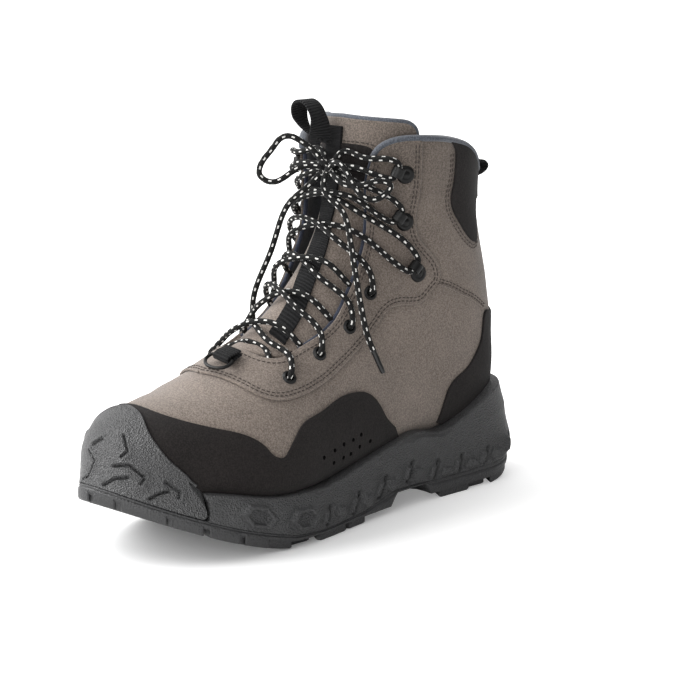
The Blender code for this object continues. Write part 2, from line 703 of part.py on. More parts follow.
def surface(turns, stations, lift=0):
    return on_lattice(closed_lattice, np.column_stack(cells(turns, stations)), lift)


def turn_above(station, height, lift=0):
    # Turn, on the lower lateral half, where the skin comes down to a height
    turns = np.linspace(88, 180, 186)
    points = surface(turns, np.full(len(turns), station), lift)
    over = points[:, 2] - height(HEEL_TO_ORIGIN - points[:, 1])
    below = np.nonzero(over < 0)[0]
    if len(below) == 0:
        return 180.0
    k = max(below[0], 1)
    return float(turns[k - 1] + (turns[k] - turns[k - 1]) * over[k - 1] / (over[k - 1] - over[k]))


def station_above(turn, height, lift=0):
    # Station, up the heel, where the skin rises above a height
    stations = np.linspace(9.5, 12.4, 120)
    points = surface(np.full(len(stations), turn), stations, lift)
    over = points[:, 2] - height(HEEL_TO_ORIGIN - points[:, 1])
    k = np.nonzero(over > 0)[0][0]
    return float(stations[k - 1] + (stations[k] - stations[k - 1]) * over[k - 1] / (over[k - 1] - over[k]))


def cap_seat(along):
    return seam(along) + CAP_SEAT


def make_toe_cap(rubber):
    # Rubber bumper: a thick shell on the toe whose skirt flares out to the sole's outline
    upper_edge = smooth_line(CAP_EDGE)
    fine = outline_loop(900)
    end = station_below(180, cap_seat)
    stations = end + (CAP_EDGE[-1][1] - end) * np.linspace(1, 0, 120) ** 2
    turns = np.array([turn_above(station, cap_seat) for station in stations[:-1]] + [180])
    turns = np.where(stations > 1.1, np.minimum(turns, CAP_UNDER), turns)
    feet = fine[nearest(fine, skin(turns, stations))]
    places = np.concatenate([[0], np.cumsum(np.linalg.norm(np.diff(feet, axis=0), axis=1))])
    even = np.linspace(0, places[-1], int(places[-1] / 0.007) + 1)
    lower_edge = np.array([cells(*pair) for pair in zip(np.interp(even, places, turns),
                                                        np.interp(even, places, stations))])
    half = join_lines(upper_edge, lower_edge)
    tip = np.array([cells(180, 0), cells(-180, 0)])
    knots, faces = cut_chart(join_lines(mirrored(half), half, tip))
    inner = on_lattice(closed_lattice, knots, GAP)
    outer = on_lattice(closed_lattice, knots, CAP_WALL)
    base = on_lattice(closed_lattice, knots, 0)
    above = base[:, 2] - cap_seat(HEEL_TO_ORIGIN - base[:, 1])
    drop = np.clip(above / (CAP_SKIRT - CAP_SEAT), 0, 1)
    near = nearest(fine, base)
    foot = np.column_stack([fine[near, 0], HEEL_TO_ORIGIN - fine[near, 1], seam(fine[near, 1]) + 2 * GAP])
    flare = ((1 - drop ** 2) ** 1.5)[:, None]
    fall = ((1 - drop) ** 1.2)[:, None]
    skirt = np.column_stack([outer[:, :2] * (1 - flare) + foot[:, :2] * flare,
                             outer[:, 2:] * (1 - fall) + foot[:, 2:] * fall])
    return finish("toe_cap", slab(inner, skirt, faces), rubber)


def make_toe_clearance(cap, rubber):
    # Round the toe the midsole keeps only its core, inside the cap's foot
    low = [vert.co.y for vert in cap.data.vertices if vert.co.z < rim([HEEL_TO_ORIGIN - vert.co.y])[0]]
    behind = max(low) + 2 * GAP
    core = ring(CAP_CORE, seam)[:, :2]
    start = int(np.argmin(core[:, 1]))
    order = np.roll(core, RING_POINTS // 2 - start, axis=0)
    kept = [tuple(point) for point in order if point[1] < behind - 0.003]
    wide = BALL_WIDTH
    first = (float(np.interp(behind, *core_side(order, 1))), behind)
    last = (float(np.interp(behind, *core_side(order, -1))), behind)
    if kept[0][0] < kept[-1][0]:
        first, last = last, first
    reach = wide if first[0] > 0 else -wide
    outline = [first] + kept + [last, (-reach, behind), (-reach, -LENGTH), (reach, -LENGTH), (reach, behind)]
    count = len(outline)
    points = [(x, y, -EDGE_HEIGHT) for x, y in outline] + [(x, y, INSTEP_HEIGHT) for x, y in outline]
    flat = [Vector(p) for p in outline]
    edges = [(k, (k + 1) % count) for k in range(count)]
    triangles = delaunay_2d_cdt(flat, edges, [], 1, 1e-7)[2]
    faces = [tuple(face) for face in triangles]
    faces += [tuple(k + count for k in reversed(face)) for face in triangles]
    faces += [(k, (k + 1) % count, (k + 1) % count + count, k + count) for k in range(count)]
    return finish("toe_clearance", (points, faces), rubber)


def core_side(core, side):
    # Along and sideways values of one side of the core's outline, rising along
    half = core[core[:, 0] * side > 0.25 * HEEL_WIDTH]
    half = half[np.argsort(half[:, 1])]
    return half[:, 1], half[:, 0]


def nearest(loop, points):
    # For each point, the place on an outline (x, along) that it lies nearest to in plan
    flat = np.column_stack([points[:, 0], HEEL_TO_ORIGIN - points[:, 1]])
    return np.array([np.linalg.norm(loop - point, axis=1).argmin() for point in flat])


def station_below(turn, height):
    # Station near the toe tip where the skin comes down to a height
    stations = np.linspace(0.05, 2, 80)
    points = surface(np.full(len(stations), float(turn)), stations)
    over = points[:, 2] - height(HEEL_TO_ORIGIN - points[:, 1])
    k = np.nonzero(over < 0)[0]
    return float(stations[k[0]]) if len(k) else 2.0


def rim_line(start, end):
    # Just above the midsole's rim, from one station back to another, or to the heel's back line
    rest = clear_of(rim, RIM_REST)
    top = OVERLAY + GAP
    if end is None:
        end = station_above(180, rest, top)
        stations = end + (start - end) * np.linspace(1, 0, 80) ** 2
        turns = [turn_above(station, rest, top) for station in stations[:-1]] + [180]
    else:
        stations = np.linspace(start, end, 60)
        turns = [turn_above(station, rest, top) for station in stations]
    chart = np.array([cells(*pair) for pair in zip(turns, stations)])
    places = np.concatenate([[0], np.cumsum(np.linalg.norm(np.diff(chart, axis=0), axis=1))])
    even = np.linspace(0, places[-1], int(places[-1] / 0.7) + 2)
    return np.column_stack([np.interp(even, places, chart[:, k]) for k in (0, 1)])


def between(chart, low, high):
    turns = chart[:, 0] * TURN_STEP
    return chart[(turns > low) & (turns < high)]


def make_upper(fabric):
    lateral = join_lines(smooth_line(THROAT), smooth_line(COLLAR), smooth_line(BOTTOM_OPENING)[::-1],
                         np.array([cells(180, 0)]))
    upper = layer("upper", fabric, open_lattice, join_lines(mirrored(lateral), lateral), -WALL, 0)
    return upper


def make_overlays(suede):
    top = OVERLAY + GAP
    edge = CAP_EDGE[-1][1] + 0.05
    low_edge = rim_line(edge, RAND_TOP[-1][1] + 0.05)
    front = smooth_line([(turn, station + 0.035) for turn, station in CAP_EDGE])
    front = between(front, -1, low_edge[0, 0] * TURN_STEP - 3)
    half = join_lines(front, low_edge, smooth_line(RAND_TOP)[::-1])
    layer("toe_rand", suede, open_lattice, join_lines(half, mirrored(half)), GAP, top)

    throat = smooth_line(THROAT)
    collar = smooth_line(COLLAR)
    half = join_lines(smooth_line(EYESTAY_EDGE), between(collar, 33, 61)[::-1], throat[::-1])
    eyestay = layer("eyestay", suede, open_lattice, join_lines(half, mirrored(half)), GAP, top)

    half = join_lines(smooth_line(COUNTER_EDGE), rim_line(COUNTER_EDGE[-1][1] + 0.12, None))
    layer("heel_counter", suede, open_lattice, join_lines(half, around_back(half)), GAP, top)

    half = join_lines(between(collar, 84.5, 181)[::-1], smooth_line(CUFF_FRONT))
    layer("collar_panel", suede, open_lattice, join_lines(half, around_back(half)), GAP, top)
    return eyestay


def local_frame(turn, station, lift, lattice=None):
    # Axes at a place on the upper: towards the throat, up the boot, and outward
    lattice = lattice or open_lattice
    point = place(turn, station, lift, lattice)
    side = 1 if turn >= 0 else -1
    throat = place(turn - 2 * side, station, lift, lattice) - place(turn + 2 * side, station, lift, lattice)
    rise = place(turn, station + 0.15, lift, lattice) - place(turn, station - 0.15, lift, lattice)
    throat.normalize()
    out = throat.cross(rise)
    out *= -side
    out.normalize()
    rise = out.cross(throat) * -side
    matrix = Matrix((throat, rise.normalized(), out)).transposed().to_4x4()
    matrix.translation = point
    return matrix


def turned(profile, sides):
    # A closed ring of revolution about local Z from (radius, height) points
    points = []
    faces = []
    count = len(profile)
    for k in range(sides):
        angle = 2 * math.pi * k / sides
        points += [(r * math.cos(angle), r * math.sin(angle), z) for r, z in profile]
    for k in range(sides):
        for n in range(count):
            a = k * count + n
            b = k * count + (n + 1) % count
            c = ((k + 1) % sides) * count + (n + 1) % count
            d = ((k + 1) % sides) * count + n
            faces.append((a, b, c, d))
    return points, faces


def extruded(outline, low, high):
    # A closed prism along local Y from (x, z) points
    count = len(outline)
    points = [(x, low, z) for x, z in outline] + [(x, high, z) for x, z in outline]
    faces = [tuple(range(count)), tuple(reversed(range(count, 2 * count)))]
    faces += [(k, (k + 1) % count, (k + 1) % count + count, k + count) for k in range(count)]
    return points, faces


def thickened(line, thickness):
    # The outline of a bent strip, from its centre line
    line = np.array(line)
    direction = np.gradient(line, axis=0)
    normal = np.stack([-direction[:, 1], direction[:, 0]], axis=1)
    normal /= np.linalg.norm(normal, axis=1)[:, None]
    return [tuple(p) for p in line + normal * thickness / 2] + [tuple(p) for p in (line - normal * thickness / 2)[::-1]]


def placed(name, body, matrix, material_used):
    points, faces = body
    return finish(name, ([matrix @ Vector(p) for p in points], faces), material_used)


SEAT = GAP + OVERLAY + 2 * GAP


def make_eyelets(metal, cut_pieces):
    # Turned eyelets whose barrels pass through the eyestay and the upper
    bore = EYELET_BORE / 2
    barrel = bore + 0.0006
    foot = -WALL - SEAT + GAP
    profile = [(bore, foot), (barrel, foot), (barrel, 0), (EYELET_WIDTH / 2, 0),
               (EYELET_WIDTH / 2 - 0.0004, EYELET_FLANGE), (bore + 0.0004, EYELET_FLANGE)]
    holes = []
    for number, (turn, station) in enumerate(EYELETS, 1):
        for side, label in ((1, "lateral"), (-1, "medial")):
            matrix = local_frame(turn * side, station, SEAT)
            placed(f"eyelet_{label}_{number}", turned(profile, 10), matrix, metal)
            hole = [(0, foot - 0.004), (barrel + GAP, foot - 0.004), (barrel + GAP, 0.004), (0, 0.004)]
            holes.append((turned_solid(hole, 10), matrix))
    points = []
    faces = []
    for (hole_points, hole_faces), matrix in holes:
        base = len(points)
        points += [matrix @ Vector(p) for p in hole_points]
        faces += [tuple(k + base for k in face) for face in hole_faces]
    cutter = finish("eyelet_holes", (points, faces), metal)
    for piece in cut_pieces:
        combine(piece, cutter, "DIFFERENCE")


def turned_solid(profile, sides):
    # A solid of revolution whose profile starts and ends on the axis
    points = [(0, 0, profile[0][1]), (0, 0, profile[-1][1])]
    faces = []
    rims = profile[1:-1]
    for k in range(sides):
        angle = 2 * math.pi * k / sides
        points += [(r * math.cos(angle), r * math.sin(angle), z) for r, z in rims]
    count = len(rims)
    for k in range(sides):
        a = 2 + k * count
        b = 2 + ((k + 1) % sides) * count
        faces.append((0, b, a))
        faces.append((1, a + count - 1, b + count - 1))
        faces += [(a + n, b + n, b + n + 1, a + n + 1) for n in range(count - 1)]
    return points, faces


def hook_curl():
    # Centre line of a hook's plate and curl, towards the throat and outward
    radius = HOOK_CURL + HOOK_METAL / 2
    centre = (HOOK_REACH - radius, radius + HOOK_METAL / 2)
    line = [(-HOOK_BASE * 0.25, HOOK_METAL / 2), (centre[0] * 0.4, HOOK_METAL / 2)]
    for angle in range(-90, 131, 44):
        turn = math.radians(angle)
        line.append((centre[0] + radius * math.cos(turn), centre[1] + radius * math.sin(turn)))
    return line, centre


def make_hooks(metal):
    line, _ = hook_curl()
    outline = thickened(line, HOOK_METAL)
    disc = [(0, 0), (HOOK_BASE / 2, 0), (HOOK_BASE / 2, HOOK_METAL * 0.8), (HOOK_BASE * 0.3, HOOK_METAL * 1.3),
            (0, HOOK_METAL * 1.3)]
    for number, (turn, station) in enumerate(HOOKS, 1):
        for side, label in ((1, "lateral"), (-1, "medial")):
            matrix = local_frame(turn * side, station, SEAT + GAP)
            name = f"hook_{label}_{number}"
            hook = placed(name, turned_solid(disc, 10), matrix, metal)
            arm = placed(name + "_arm", extruded(outline, -HOOK_WIDTH / 2, HOOK_WIDTH / 2), matrix, metal)
            combine(hook, arm, "UNION")


def tube(name, points, radius, sides, material_used):
    # A round solid along a line, with flat ends
    points = [Vector(p) for p in points]
    rings = []
    side = None
    for k, point in enumerate(points):
        before = points[max(k - 1, 0)]
        after = points[min(k + 1, len(points) - 1)]
        direction = (after - before).normalized()
        if side is None:
            side = direction.orthogonal().normalized()
        side = (side - direction * side.dot(direction)).normalized()
        other = direction.cross(side)
        for n in range(sides):
            angle = 2 * math.pi * n / sides
            rings.append(point + side * (radius * math.cos(angle)) + other * (radius * math.sin(angle)))
    faces = [tuple(range(sides)), tuple(range(len(rings) - sides, len(rings)))]
    for k in range(len(points) - 1):
        for n in range(sides):
            a = k * sides + n
            b = k * sides + (n + 1) % sides
            faces.append((a, b, b + sides, a + sides))
    return finish(name, (rings, faces), material_used)


def spaced(points, spacing, bend=24):
    # Points along a smooth curve through the given ones, closer where it bends
    points = np.array([tuple(p) for p in points])
    places = np.concatenate([[0], np.cumsum(np.linalg.norm(np.diff(points, axis=0), axis=1))])
    fine = natural_curve(places, points)(np.linspace(0, places[-1], 50 * len(points)))
    steps = np.diff(fine, axis=0)
    lengths = np.linalg.norm(steps, axis=1)
    ways = steps / lengths[:, None]
    kept = [0]
    run = 0
    turned_by = 0
    for k in range(1, len(fine) - 1):
        run += lengths[k - 1]
        turned_by += math.degrees(math.acos(min(1, max(-1, float(ways[k] @ ways[k - 1])))))
        if run > spacing or turned_by > bend:
            kept.append(k)
            run = 0
            turned_by = 0
    kept.append(len(fine) - 1)
    if len(kept) > 2 and np.linalg.norm(fine[kept[-1]] - fine[kept[-2]]) < spacing * 0.3:
        kept.pop(-2)
    return fine[kept]


def lace_point(turn, station, lift):
    # Over the throat the lace bridges from the tongue's form to the gaping medial edge
    near = min(turn, -40.0) if turn < 0 else turn
    opening = float(medial_gape(np.array([near]), np.array([station]))[0])
    share = min(max(-turn / 28, 0), 1)
    return place(turn, station, lift + opening * share * share * (3 - 2 * share), closed_lattice)


def lace_turn(number, side):
    # The lace's way round an eyelet or hook, from its lower to its upper side
    if number < len(EYELETS):
        turn, station = EYELETS[number]
        matrix = local_frame(turn * side, station, SEAT)
        seat = (0.001, EYELET_FLANGE + LACE_WIDTH / 2 + 2 * GAP)
        reach = (0.0045, 0.0045)
    else:
        turn, station = HOOKS[number - len(EYELETS)]
        matrix = local_frame(turn * side, station, SEAT + GAP)
        _, seat = hook_curl()
        reach = (0.0034, HOOK_WIDTH / 2 + LACE_WIDTH / 2 + 0.0012)
    path = []
    for angle in (-90, -55, -20, 20, 55, 90):
        arc = math.radians(angle)
        path.append(matrix @ Vector((seat[0] + reach[0] * (1 - math.cos(arc)), reach[1] * math.sin(arc), seat[1])))
    return turn, station, path


def lace_half(first_side, over):
    # One half of the lace: from the middle of the bottom bar, crossing up to the knot
    count = len(EYELETS) + len(HOOKS)
    side = first_side
    bar = EYELETS[0][1] + 0.10
    points = [lace_point(-2 * side, bar, LACE_LIFT + over + 0.0012), lace_point(8 * side, bar, LACE_LIFT + 0.0012),
              lace_point(22 * side, bar, LACE_LIFT + 0.0018)]
    for number in range(count):
        turn, station, path = lace_turn(number, side)
        points += path
        if number == count - 1:
            points += [lace_point(26 * side, station + 0.16, LACE_LIFT + 0.0015),
                       lace_point(10 * side, station + 0.22, LACE_LIFT + 0.0005),
                       lace_point(-3 * side, station + 0.22, LACE_LIFT + 0.0005)]
            break
        next_turn, next_station, next_path = lace_turn(number + 1, -side)
        middle = (station + next_station) / 2
        for share in (-0.5, 0, 0.5):
            swing = next_turn if share > 0 else turn
            lift = LACE_LIFT + over + 0.0022 * abs(share) * 2
            points.append(lace_point(-side * swing * share, middle + (next_station - station) * share * 0.55, lift))
        side = -side
    return spaced(points, LACE_WIDTH * 5, 40)


LACE_LIFT = LACE_WIDTH / 2 + WEBBING - WALL + 0.0022


def make_lace(lace_material):
    half = tube("lace_crossings", lace_half(1, 0), LACE_WIDTH / 2, 6, lace_material)
    other = tube("lace_other_half", lace_half(-1, GAP), LACE_WIDTH / 2, 6, lace_material)
    combine(half, other, "UNION", "MANIFOLD")


def strip_outline():
    # The webbing down the middle of the tongue, as wide as STRIP_WIDTH everywhere
    centre = smooth_line(STRIP_LINE, 0.9)
    sides = []
    for column, row in centre:
        ahead = on_lattice(closed_lattice, np.array([[column - 0.1, row], [column + 0.1, row]]), 0)
        size = np.linalg.norm(ahead[1] - ahead[0]) / 0.2
        sides.append(STRIP_WIDTH / 2 / size)
    sides = np.array(sides)
    left = np.column_stack([centre[:, 0] - sides, centre[:, 1]])
    right = np.column_stack([centre[:, 0] + sides, centre[:, 1]])
    return np.vstack([left, right[::-1]])


def make_strip(webbing):
    layer("tongue_strip", webbing, closed_lattice, strip_outline(), -WALL, -WALL + WEBBING)


def make_ring(metal, webbing):
    # D-ring at the foot of the throat and the webbing that folds round its straight bar
    matrix = local_frame(8, 5.82, SEAT + RING_WIRE * 1.7, closed_lattice)
    across = matrix.col[0].to_3d()
    ahead = -matrix.col[1].to_3d()
    centre = matrix.translation
    half = RING_WIDTH / 2 - RING_WIRE / 2
    deep = RING_LENGTH - RING_WIRE
    corner = 0.0022
    line = []
    for angle in range(0, 181, 20):
        turn = math.radians(angle)
        line.append((half * math.cos(turn), deep * 0.35 + deep * 0.65 * math.sin(turn)))
    for cx, start in ((-half + corner, 180), (half - corner, 270)):
        for angle in (0, 30, 60, 90):
            turn = math.radians(start + angle)
            line.append((cx + corner * math.cos(turn), corner + corner * math.sin(turn)))
    points = [centre + across * x + ahead * y for x, y in line]
    ring_body(points, matrix.col[2].to_3d(), metal)

    bend = RING_WIRE / 2 + GAP + WEBBING / 2
    path = [(-0.0075, -bend), (-0.002, -bend)]
    for angle in range(-90, 91, 36):
        turn = math.radians(angle)
        path.append((bend * math.cos(turn), bend * math.sin(turn)))
    path += [(-0.002, bend), (-0.0075, bend * 0.55)]
    outline = thickened(path, WEBBING)
    points, faces = extruded(outline, -LOOP_WEBBING / 2, LOOP_WEBBING / 2)
    base = matrix.copy()
    turned_frame = Matrix((ahead, across, matrix.col[2].to_3d())).transposed().to_4x4()
    turned_frame.translation = base.translation
    finish("ring_tab", ([turned_frame @ Vector(p) for p in points], faces), webbing)


def ring_body(points, out, metal):
    # A closed round wire through points in a plane
    sides = 6
    rings = []
    count = len(points)
    for k, point in enumerate(points):
        way = (points[(k + 1) % count] - points[k - 1]).normalized()
        other = way.cross(out).normalized()
        for n in range(sides):
            angle = 2 * math.pi * n / sides
            rings.append(point + out * (RING_WIRE / 2 * math.cos(angle)) + other * (RING_WIRE / 2 * math.sin(angle)))
    faces = []
    for k in range(count):
        for n in range(sides):
            a = k * sides + n
            b = k * sides + (n + 1) % sides
            c = ((k + 1) % count) * sides
            faces.append((a, b, c + (n + 1) % sides, c + n))
    return finish("d_ring", (rings, faces), metal)


def ribbon(name, line, widths, width, thickness, material_used):
    # A flat strap along a line; widths are the directions across it
    rings = []
    count = len(line)
    for k in range(count):
        way = (line[min(k + 1, count - 1)] - line[max(k - 1, 0)]).normalized()
        across = (widths[k] - way * widths[k].dot(way)).normalized()
        out = way.cross(across)
        for a, b in ((1, 1), (-1, 1), (-1, -1), (1, -1)):
            rings.append(line[k] + across * (a * width / 2) + out * (b * thickness / 2))
    faces = [(0, 1, 2, 3), tuple(range(4 * count - 4, 4 * count))]
    for k in range(count - 1):
        faces += [(4 * k + n, 4 * k + (n + 1) % 4, 4 * k + 4 + (n + 1) % 4, 4 * k + 4 + n) for n in range(4)]
    return finish(name, (rings, faces), material_used)


def make_loops(webbing):
    # Pull loop on the tongue: it lies flat at its foot and opens sideways above
    foot = place(-4, 15.35, -WALL + WEBBING * 2 + 7 * GAP, closed_lattice)
    line = []
    widths = []
    for k in range(15):
        share = k / 14
        angle = math.radians(-90 + 360 * share)
        swell = math.sin(math.pi * share)
        x = TONGUE_LOOP_WIDTH / 2 * math.cos(angle) * swell ** 0.6 * -1
        z = TONGUE_LOOP_HEIGHT / 2 * (1 + math.sin(angle))
        back = (WEBBING + GAP) * 1.2 * share
        line.append(foot + Vector((x - TONGUE_LOOP_WIDTH * 0.32 * swell, -back - 0.0095 * swell ** 0.7, z)))
        twist = min(1, swell * 1.25) * math.pi / 2
        lean_way = 1 if share < 0.5 else -1
        widths.append(Vector((math.cos(twist), -math.sin(twist) * lean_way, 0)) * lean_way)
    for k in range(1, len(widths)):
        if widths[k].dot(widths[k - 1]) < 0:
            widths[k] = -widths[k]
    ribbon("tongue_pull_loop", line, widths, LOOP_WEBBING, WEBBING, webbing)

    # Pull loop at the back of the collar, standing off in a roll
    base = place(180, 14.9, SEAT + WEBBING / 2, closed_lattice)
    line = []
    for up, out in ((-.75, -.22), (-.4, -.22), (-.12, -.12), (.0, .5), (.18, 1.0), (.36, .85), (.47, .4), (.5, .1)):
        line.append(base + Vector((0, HEEL_LOOP_REACH * out, HEEL_LOOP_HEIGHT * up)))
    ribbon("heel_pull_loop", line, [Vector((1, 0, 0))] * len(line), STRIP_WIDTH, WEBBING, webbing)


def cord(name, points, radius, material_used):
    # A free lace: a bevelled curve with filled ends
    curve = bpy.data.curves.new(name, "CURVE")
    curve.dimensions = "3D"
    curve.bevel_depth = radius
    curve.bevel_resolution = 2
    curve.use_fill_caps = True
    spline = curve.splines.new("POLY")
    spline.points.add(len(points) - 1)
    for point, place_of in zip(spline.points, points):
        point.co = (*place_of, 1)
    curve.materials.append(material_used)
    piece = bpy.data.objects.new(name, curve)
    bpy.context.collection.objects.link(piece)
    return piece


def knot_exit(towards):
    # Where a strand that heads for a point leaves the knot
    way = (Vector(towards) - Vector(KNOT)).normalized()
    depth = 1 / math.sqrt(sum((w / size) ** 2 for w, size in zip(way, KNOT_SIZE)))
    return tuple(Vector(KNOT) + way * (depth + GAP))


def make_free_lace(lace_material, tip_material):
    radius = LACE_WIDTH / 2
    ball = bmesh.new()
    bmesh.ops.create_icosphere(ball, subdivisions=2, radius=1)
    for vert in ball.verts:
        vert.co = Vector([c * size + middle for c, size, middle in zip(vert.co, KNOT_SIZE, KNOT)])
    finish("lace_knot", ball, lace_material)
    for name, points in (("lace_loop_medial", MEDIAL_LOOP), ("lace_loop_lateral", LATERAL_LOOP)):
        points = [knot_exit(points[0])] + points + [knot_exit(points[-1])]
        cord(name, spaced(points, LACE_WIDTH * 2.5, 30), radius, lace_material)
    for side, points in (("medial", MEDIAL_END), ("lateral", LATERAL_END)):
        line = spaced([knot_exit(points[0])] + points, LACE_WIDTH * 2.5, 30)
        cord("lace_end_" + side, line, radius, lace_material)
        way = Vector(line[-1] - line[-2]).normalized()
        start = Vector(line[-1]) + way * GAP
        cord("aglet_" + side, [start, start + way * (AGLET_LENGTH / 2), start + way * AGLET_LENGTH], radius, tip_material)


def build():
    for old in list(bpy.data.objects):
        bpy.data.objects.remove(old, do_unlink=True)
    rubber = material("charcoal_rubber", (0.045, 0.046, 0.048), 0.75)
    foam = material("charcoal_midsole", (0.055, 0.055, 0.057), 0.7)
    bumper = material("grained_toe_rubber", (0.05, 0.05, 0.052), 0.6)
    fabric = material("taupe_fabric", (0.19, 0.165, 0.14), 0.85)
    lining = material("grey_lining", (0.12, 0.12, 0.13), 0.9)
    suede = material("black_suede", (0.03, 0.026, 0.024), 0.9)
    knit = material("tongue_fabric", (0.035, 0.035, 0.04), 0.9)
    webbing = material("black_webbing", (0.02, 0.02, 0.02), 0.85)
    metal = material("black_metal", (0.03, 0.03, 0.03), 0.35, 0.9)
    lace = material("lace_cord", (0.02, 0.02, 0.02), 0.8)
    tip = material("black_aglet", (0.015, 0.015, 0.015), 0.3)

    make_outsole(rubber)
    make_midsole(foam, make_toe_cap(bumper))
    upper = make_upper(fabric)
    insole = smooth_line(INSOLE_EDGE)
    layer("insole", lining, closed_lattice, join_lines(insole, around_back(insole)),
          -WALL - GAP - INSOLE_THICKNESS, -WALL - GAP)
    tongue = smooth_line(TONGUE_EDGE)
    layer("tongue", knit, closed_lattice, join_lines(tongue, mirrored(tongue)),
          -WALL - GAP - TONGUE_THICKNESS, -WALL - GAP)
    eyestay = make_overlays(suede)
    make_eyelets(metal, (upper, eyestay))
    make_hooks(metal)
    make_strip(webbing)
    make_ring(metal, webbing)
    make_loops(webbing)
    make_lace(lace)
    make_free_lace(lace, tip)


build()
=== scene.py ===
# Left wading boot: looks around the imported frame. Metres, floor at Z = 0, toe towards -Y, lateral
# side towards +X. "along" runs from the back of the heel towards the toe.
import math

import bmesh
import bpy
import numpy as np
from mathutils import Matrix, Vector
from mathutils.bvhtree import BVHTree
from mathutils.geometry import delaunay_2d_cdt
from mathutils.kdtree import KDTree


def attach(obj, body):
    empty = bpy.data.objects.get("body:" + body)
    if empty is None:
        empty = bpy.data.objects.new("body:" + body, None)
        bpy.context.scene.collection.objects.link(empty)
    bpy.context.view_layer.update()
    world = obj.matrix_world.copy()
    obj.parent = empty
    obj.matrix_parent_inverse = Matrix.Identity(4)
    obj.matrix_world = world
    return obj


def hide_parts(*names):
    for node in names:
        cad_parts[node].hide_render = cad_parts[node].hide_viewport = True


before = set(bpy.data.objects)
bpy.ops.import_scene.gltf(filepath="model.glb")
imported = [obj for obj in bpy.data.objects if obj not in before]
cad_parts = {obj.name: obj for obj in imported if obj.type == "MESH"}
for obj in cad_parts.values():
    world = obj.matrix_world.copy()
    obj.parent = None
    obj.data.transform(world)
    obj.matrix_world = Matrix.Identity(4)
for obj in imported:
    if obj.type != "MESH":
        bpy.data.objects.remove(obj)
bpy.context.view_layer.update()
print("frame:", len(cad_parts), "nodes")

# Sizes that the boot is cut and moulded to
boot = {
    "length": 0.304, "ballWidth": 0.108, "heelWidth": 0.077, "collarWidth": 0.086, "underfoot": 0.022,
    "instepHeight": 0.144, "shaftRise": 0.075, "toeSpring": 0.032, "heelBevel": 0.007, "heelToOrigin": 0.046,
    "wall": 0.0022, "gap": 0.0003, "overlay": 0.0012, "medialGape": 0.008,
}

# Sections of the last: width it follows; lowest or rearmost and highest or foremost point, along and
# height; half widths; how far up it is broadest; how square its halves are; sway of its two points
sections = [
    ("ballWidth", .970, -.006, .970, -.006, .000, .000, .42, 2.3, 2.2, -.102, -.102),
    ("ballWidth", .961, -.093, .961, .104, .148, .120, .42, 2.4, 2.2, -.093, -.093),
    ("ballWidth", .938, -.116, .934, .216, .241, .213, .40, 2.6, 2.2, -.083, -.083),
    ("ballWidth", .891, -.100, .895, .307, .333, .287, .38, 2.8, 2.2, -.065, -.074),
    ("ballWidth", .826, -.064, .832, .406, .407, .370, .35, 3.0, 2.1, -.037, -.056),
    ("ballWidth", .750, -.025, .763, .507, .454, .426, .32, 3.2, 2.0, -.009, -.046),
    ("ballWidth", .661, .000, .694, .606, .463, .426, .30, 3.2, 1.95, .009, -.037),
    ("ballWidth", .546, .016, .618, .713, .417, .380, .30, 3.0, 1.95, .009, -.028),
    ("ballWidth", .405, .041, .546, .861, .361, .333, .30, 2.8, 2.0, .009, -.019),
    ("heelWidth", .253, .049, .497, 1.000, .468, .442, .32, 2.6, 2.1, .0, -.009),
    ("heelWidth", .115, .057, .467, 1.187, .455, .442, .36, 2.5, 2.2, .0, .0),
    ("heelWidth", .046, .197, .447, 1.347, .448, .448, .40, 2.4, 2.2, .0, .0),
    ("heelWidth", .036, .443, .434, 1.493, .461, .461, .42, 2.3, 2.2, .0, .0),
    ("collarWidth", .046, .705, .428, 1.627, .430, .430, .44, 2.3, 2.2, .0, .0),
    ("collarWidth", .059, .975, .424, 1.747, .453, .453, .46, 2.3, 2.2, .0, .0),
    ("collarWidth", .062, 1.373, .421, 1.867, .477, .477, .47, 2.3, 2.2, .0, .0),
    ("collarWidth", .053, 1.827, .418, 2.000, .500, .500, .48, 2.3, 2.2, .0, .0),
    ("collarWidth", .049, 2.227, .418, 2.173, .512, .512, .48, 2.3, 2.2, .0, .0),
]

# Widest outline of the sole, once round from the back of the heel by the lateral side
soleOutline = [
    ("heelWidth", .000, .000), ("heelWidth", .286, .016), ("heelWidth", .487, .082),
    ("heelWidth", .526, .200), ("heelWidth", .540, .332), ("ballWidth", .425, .464),
    ("ballWidth", .491, .595), ("ballWidth", .519, .700), ("ballWidth", .468, .812),
    ("ballWidth", .352, .900), ("ballWidth", .148, .974), ("ballWidth", -.083, 1.000),
    ("ballWidth", -.259, .964), ("ballWidth", -.398, .885), ("ballWidth", -.486, .780),
    ("ballWidth", -.481, .678), ("ballWidth", -.412, .530), ("heelWidth", -.500, .382),
    ("heelWidth", -.494, .234), ("heelWidth", -.468, .095), ("heelWidth", -.273, .016),
]

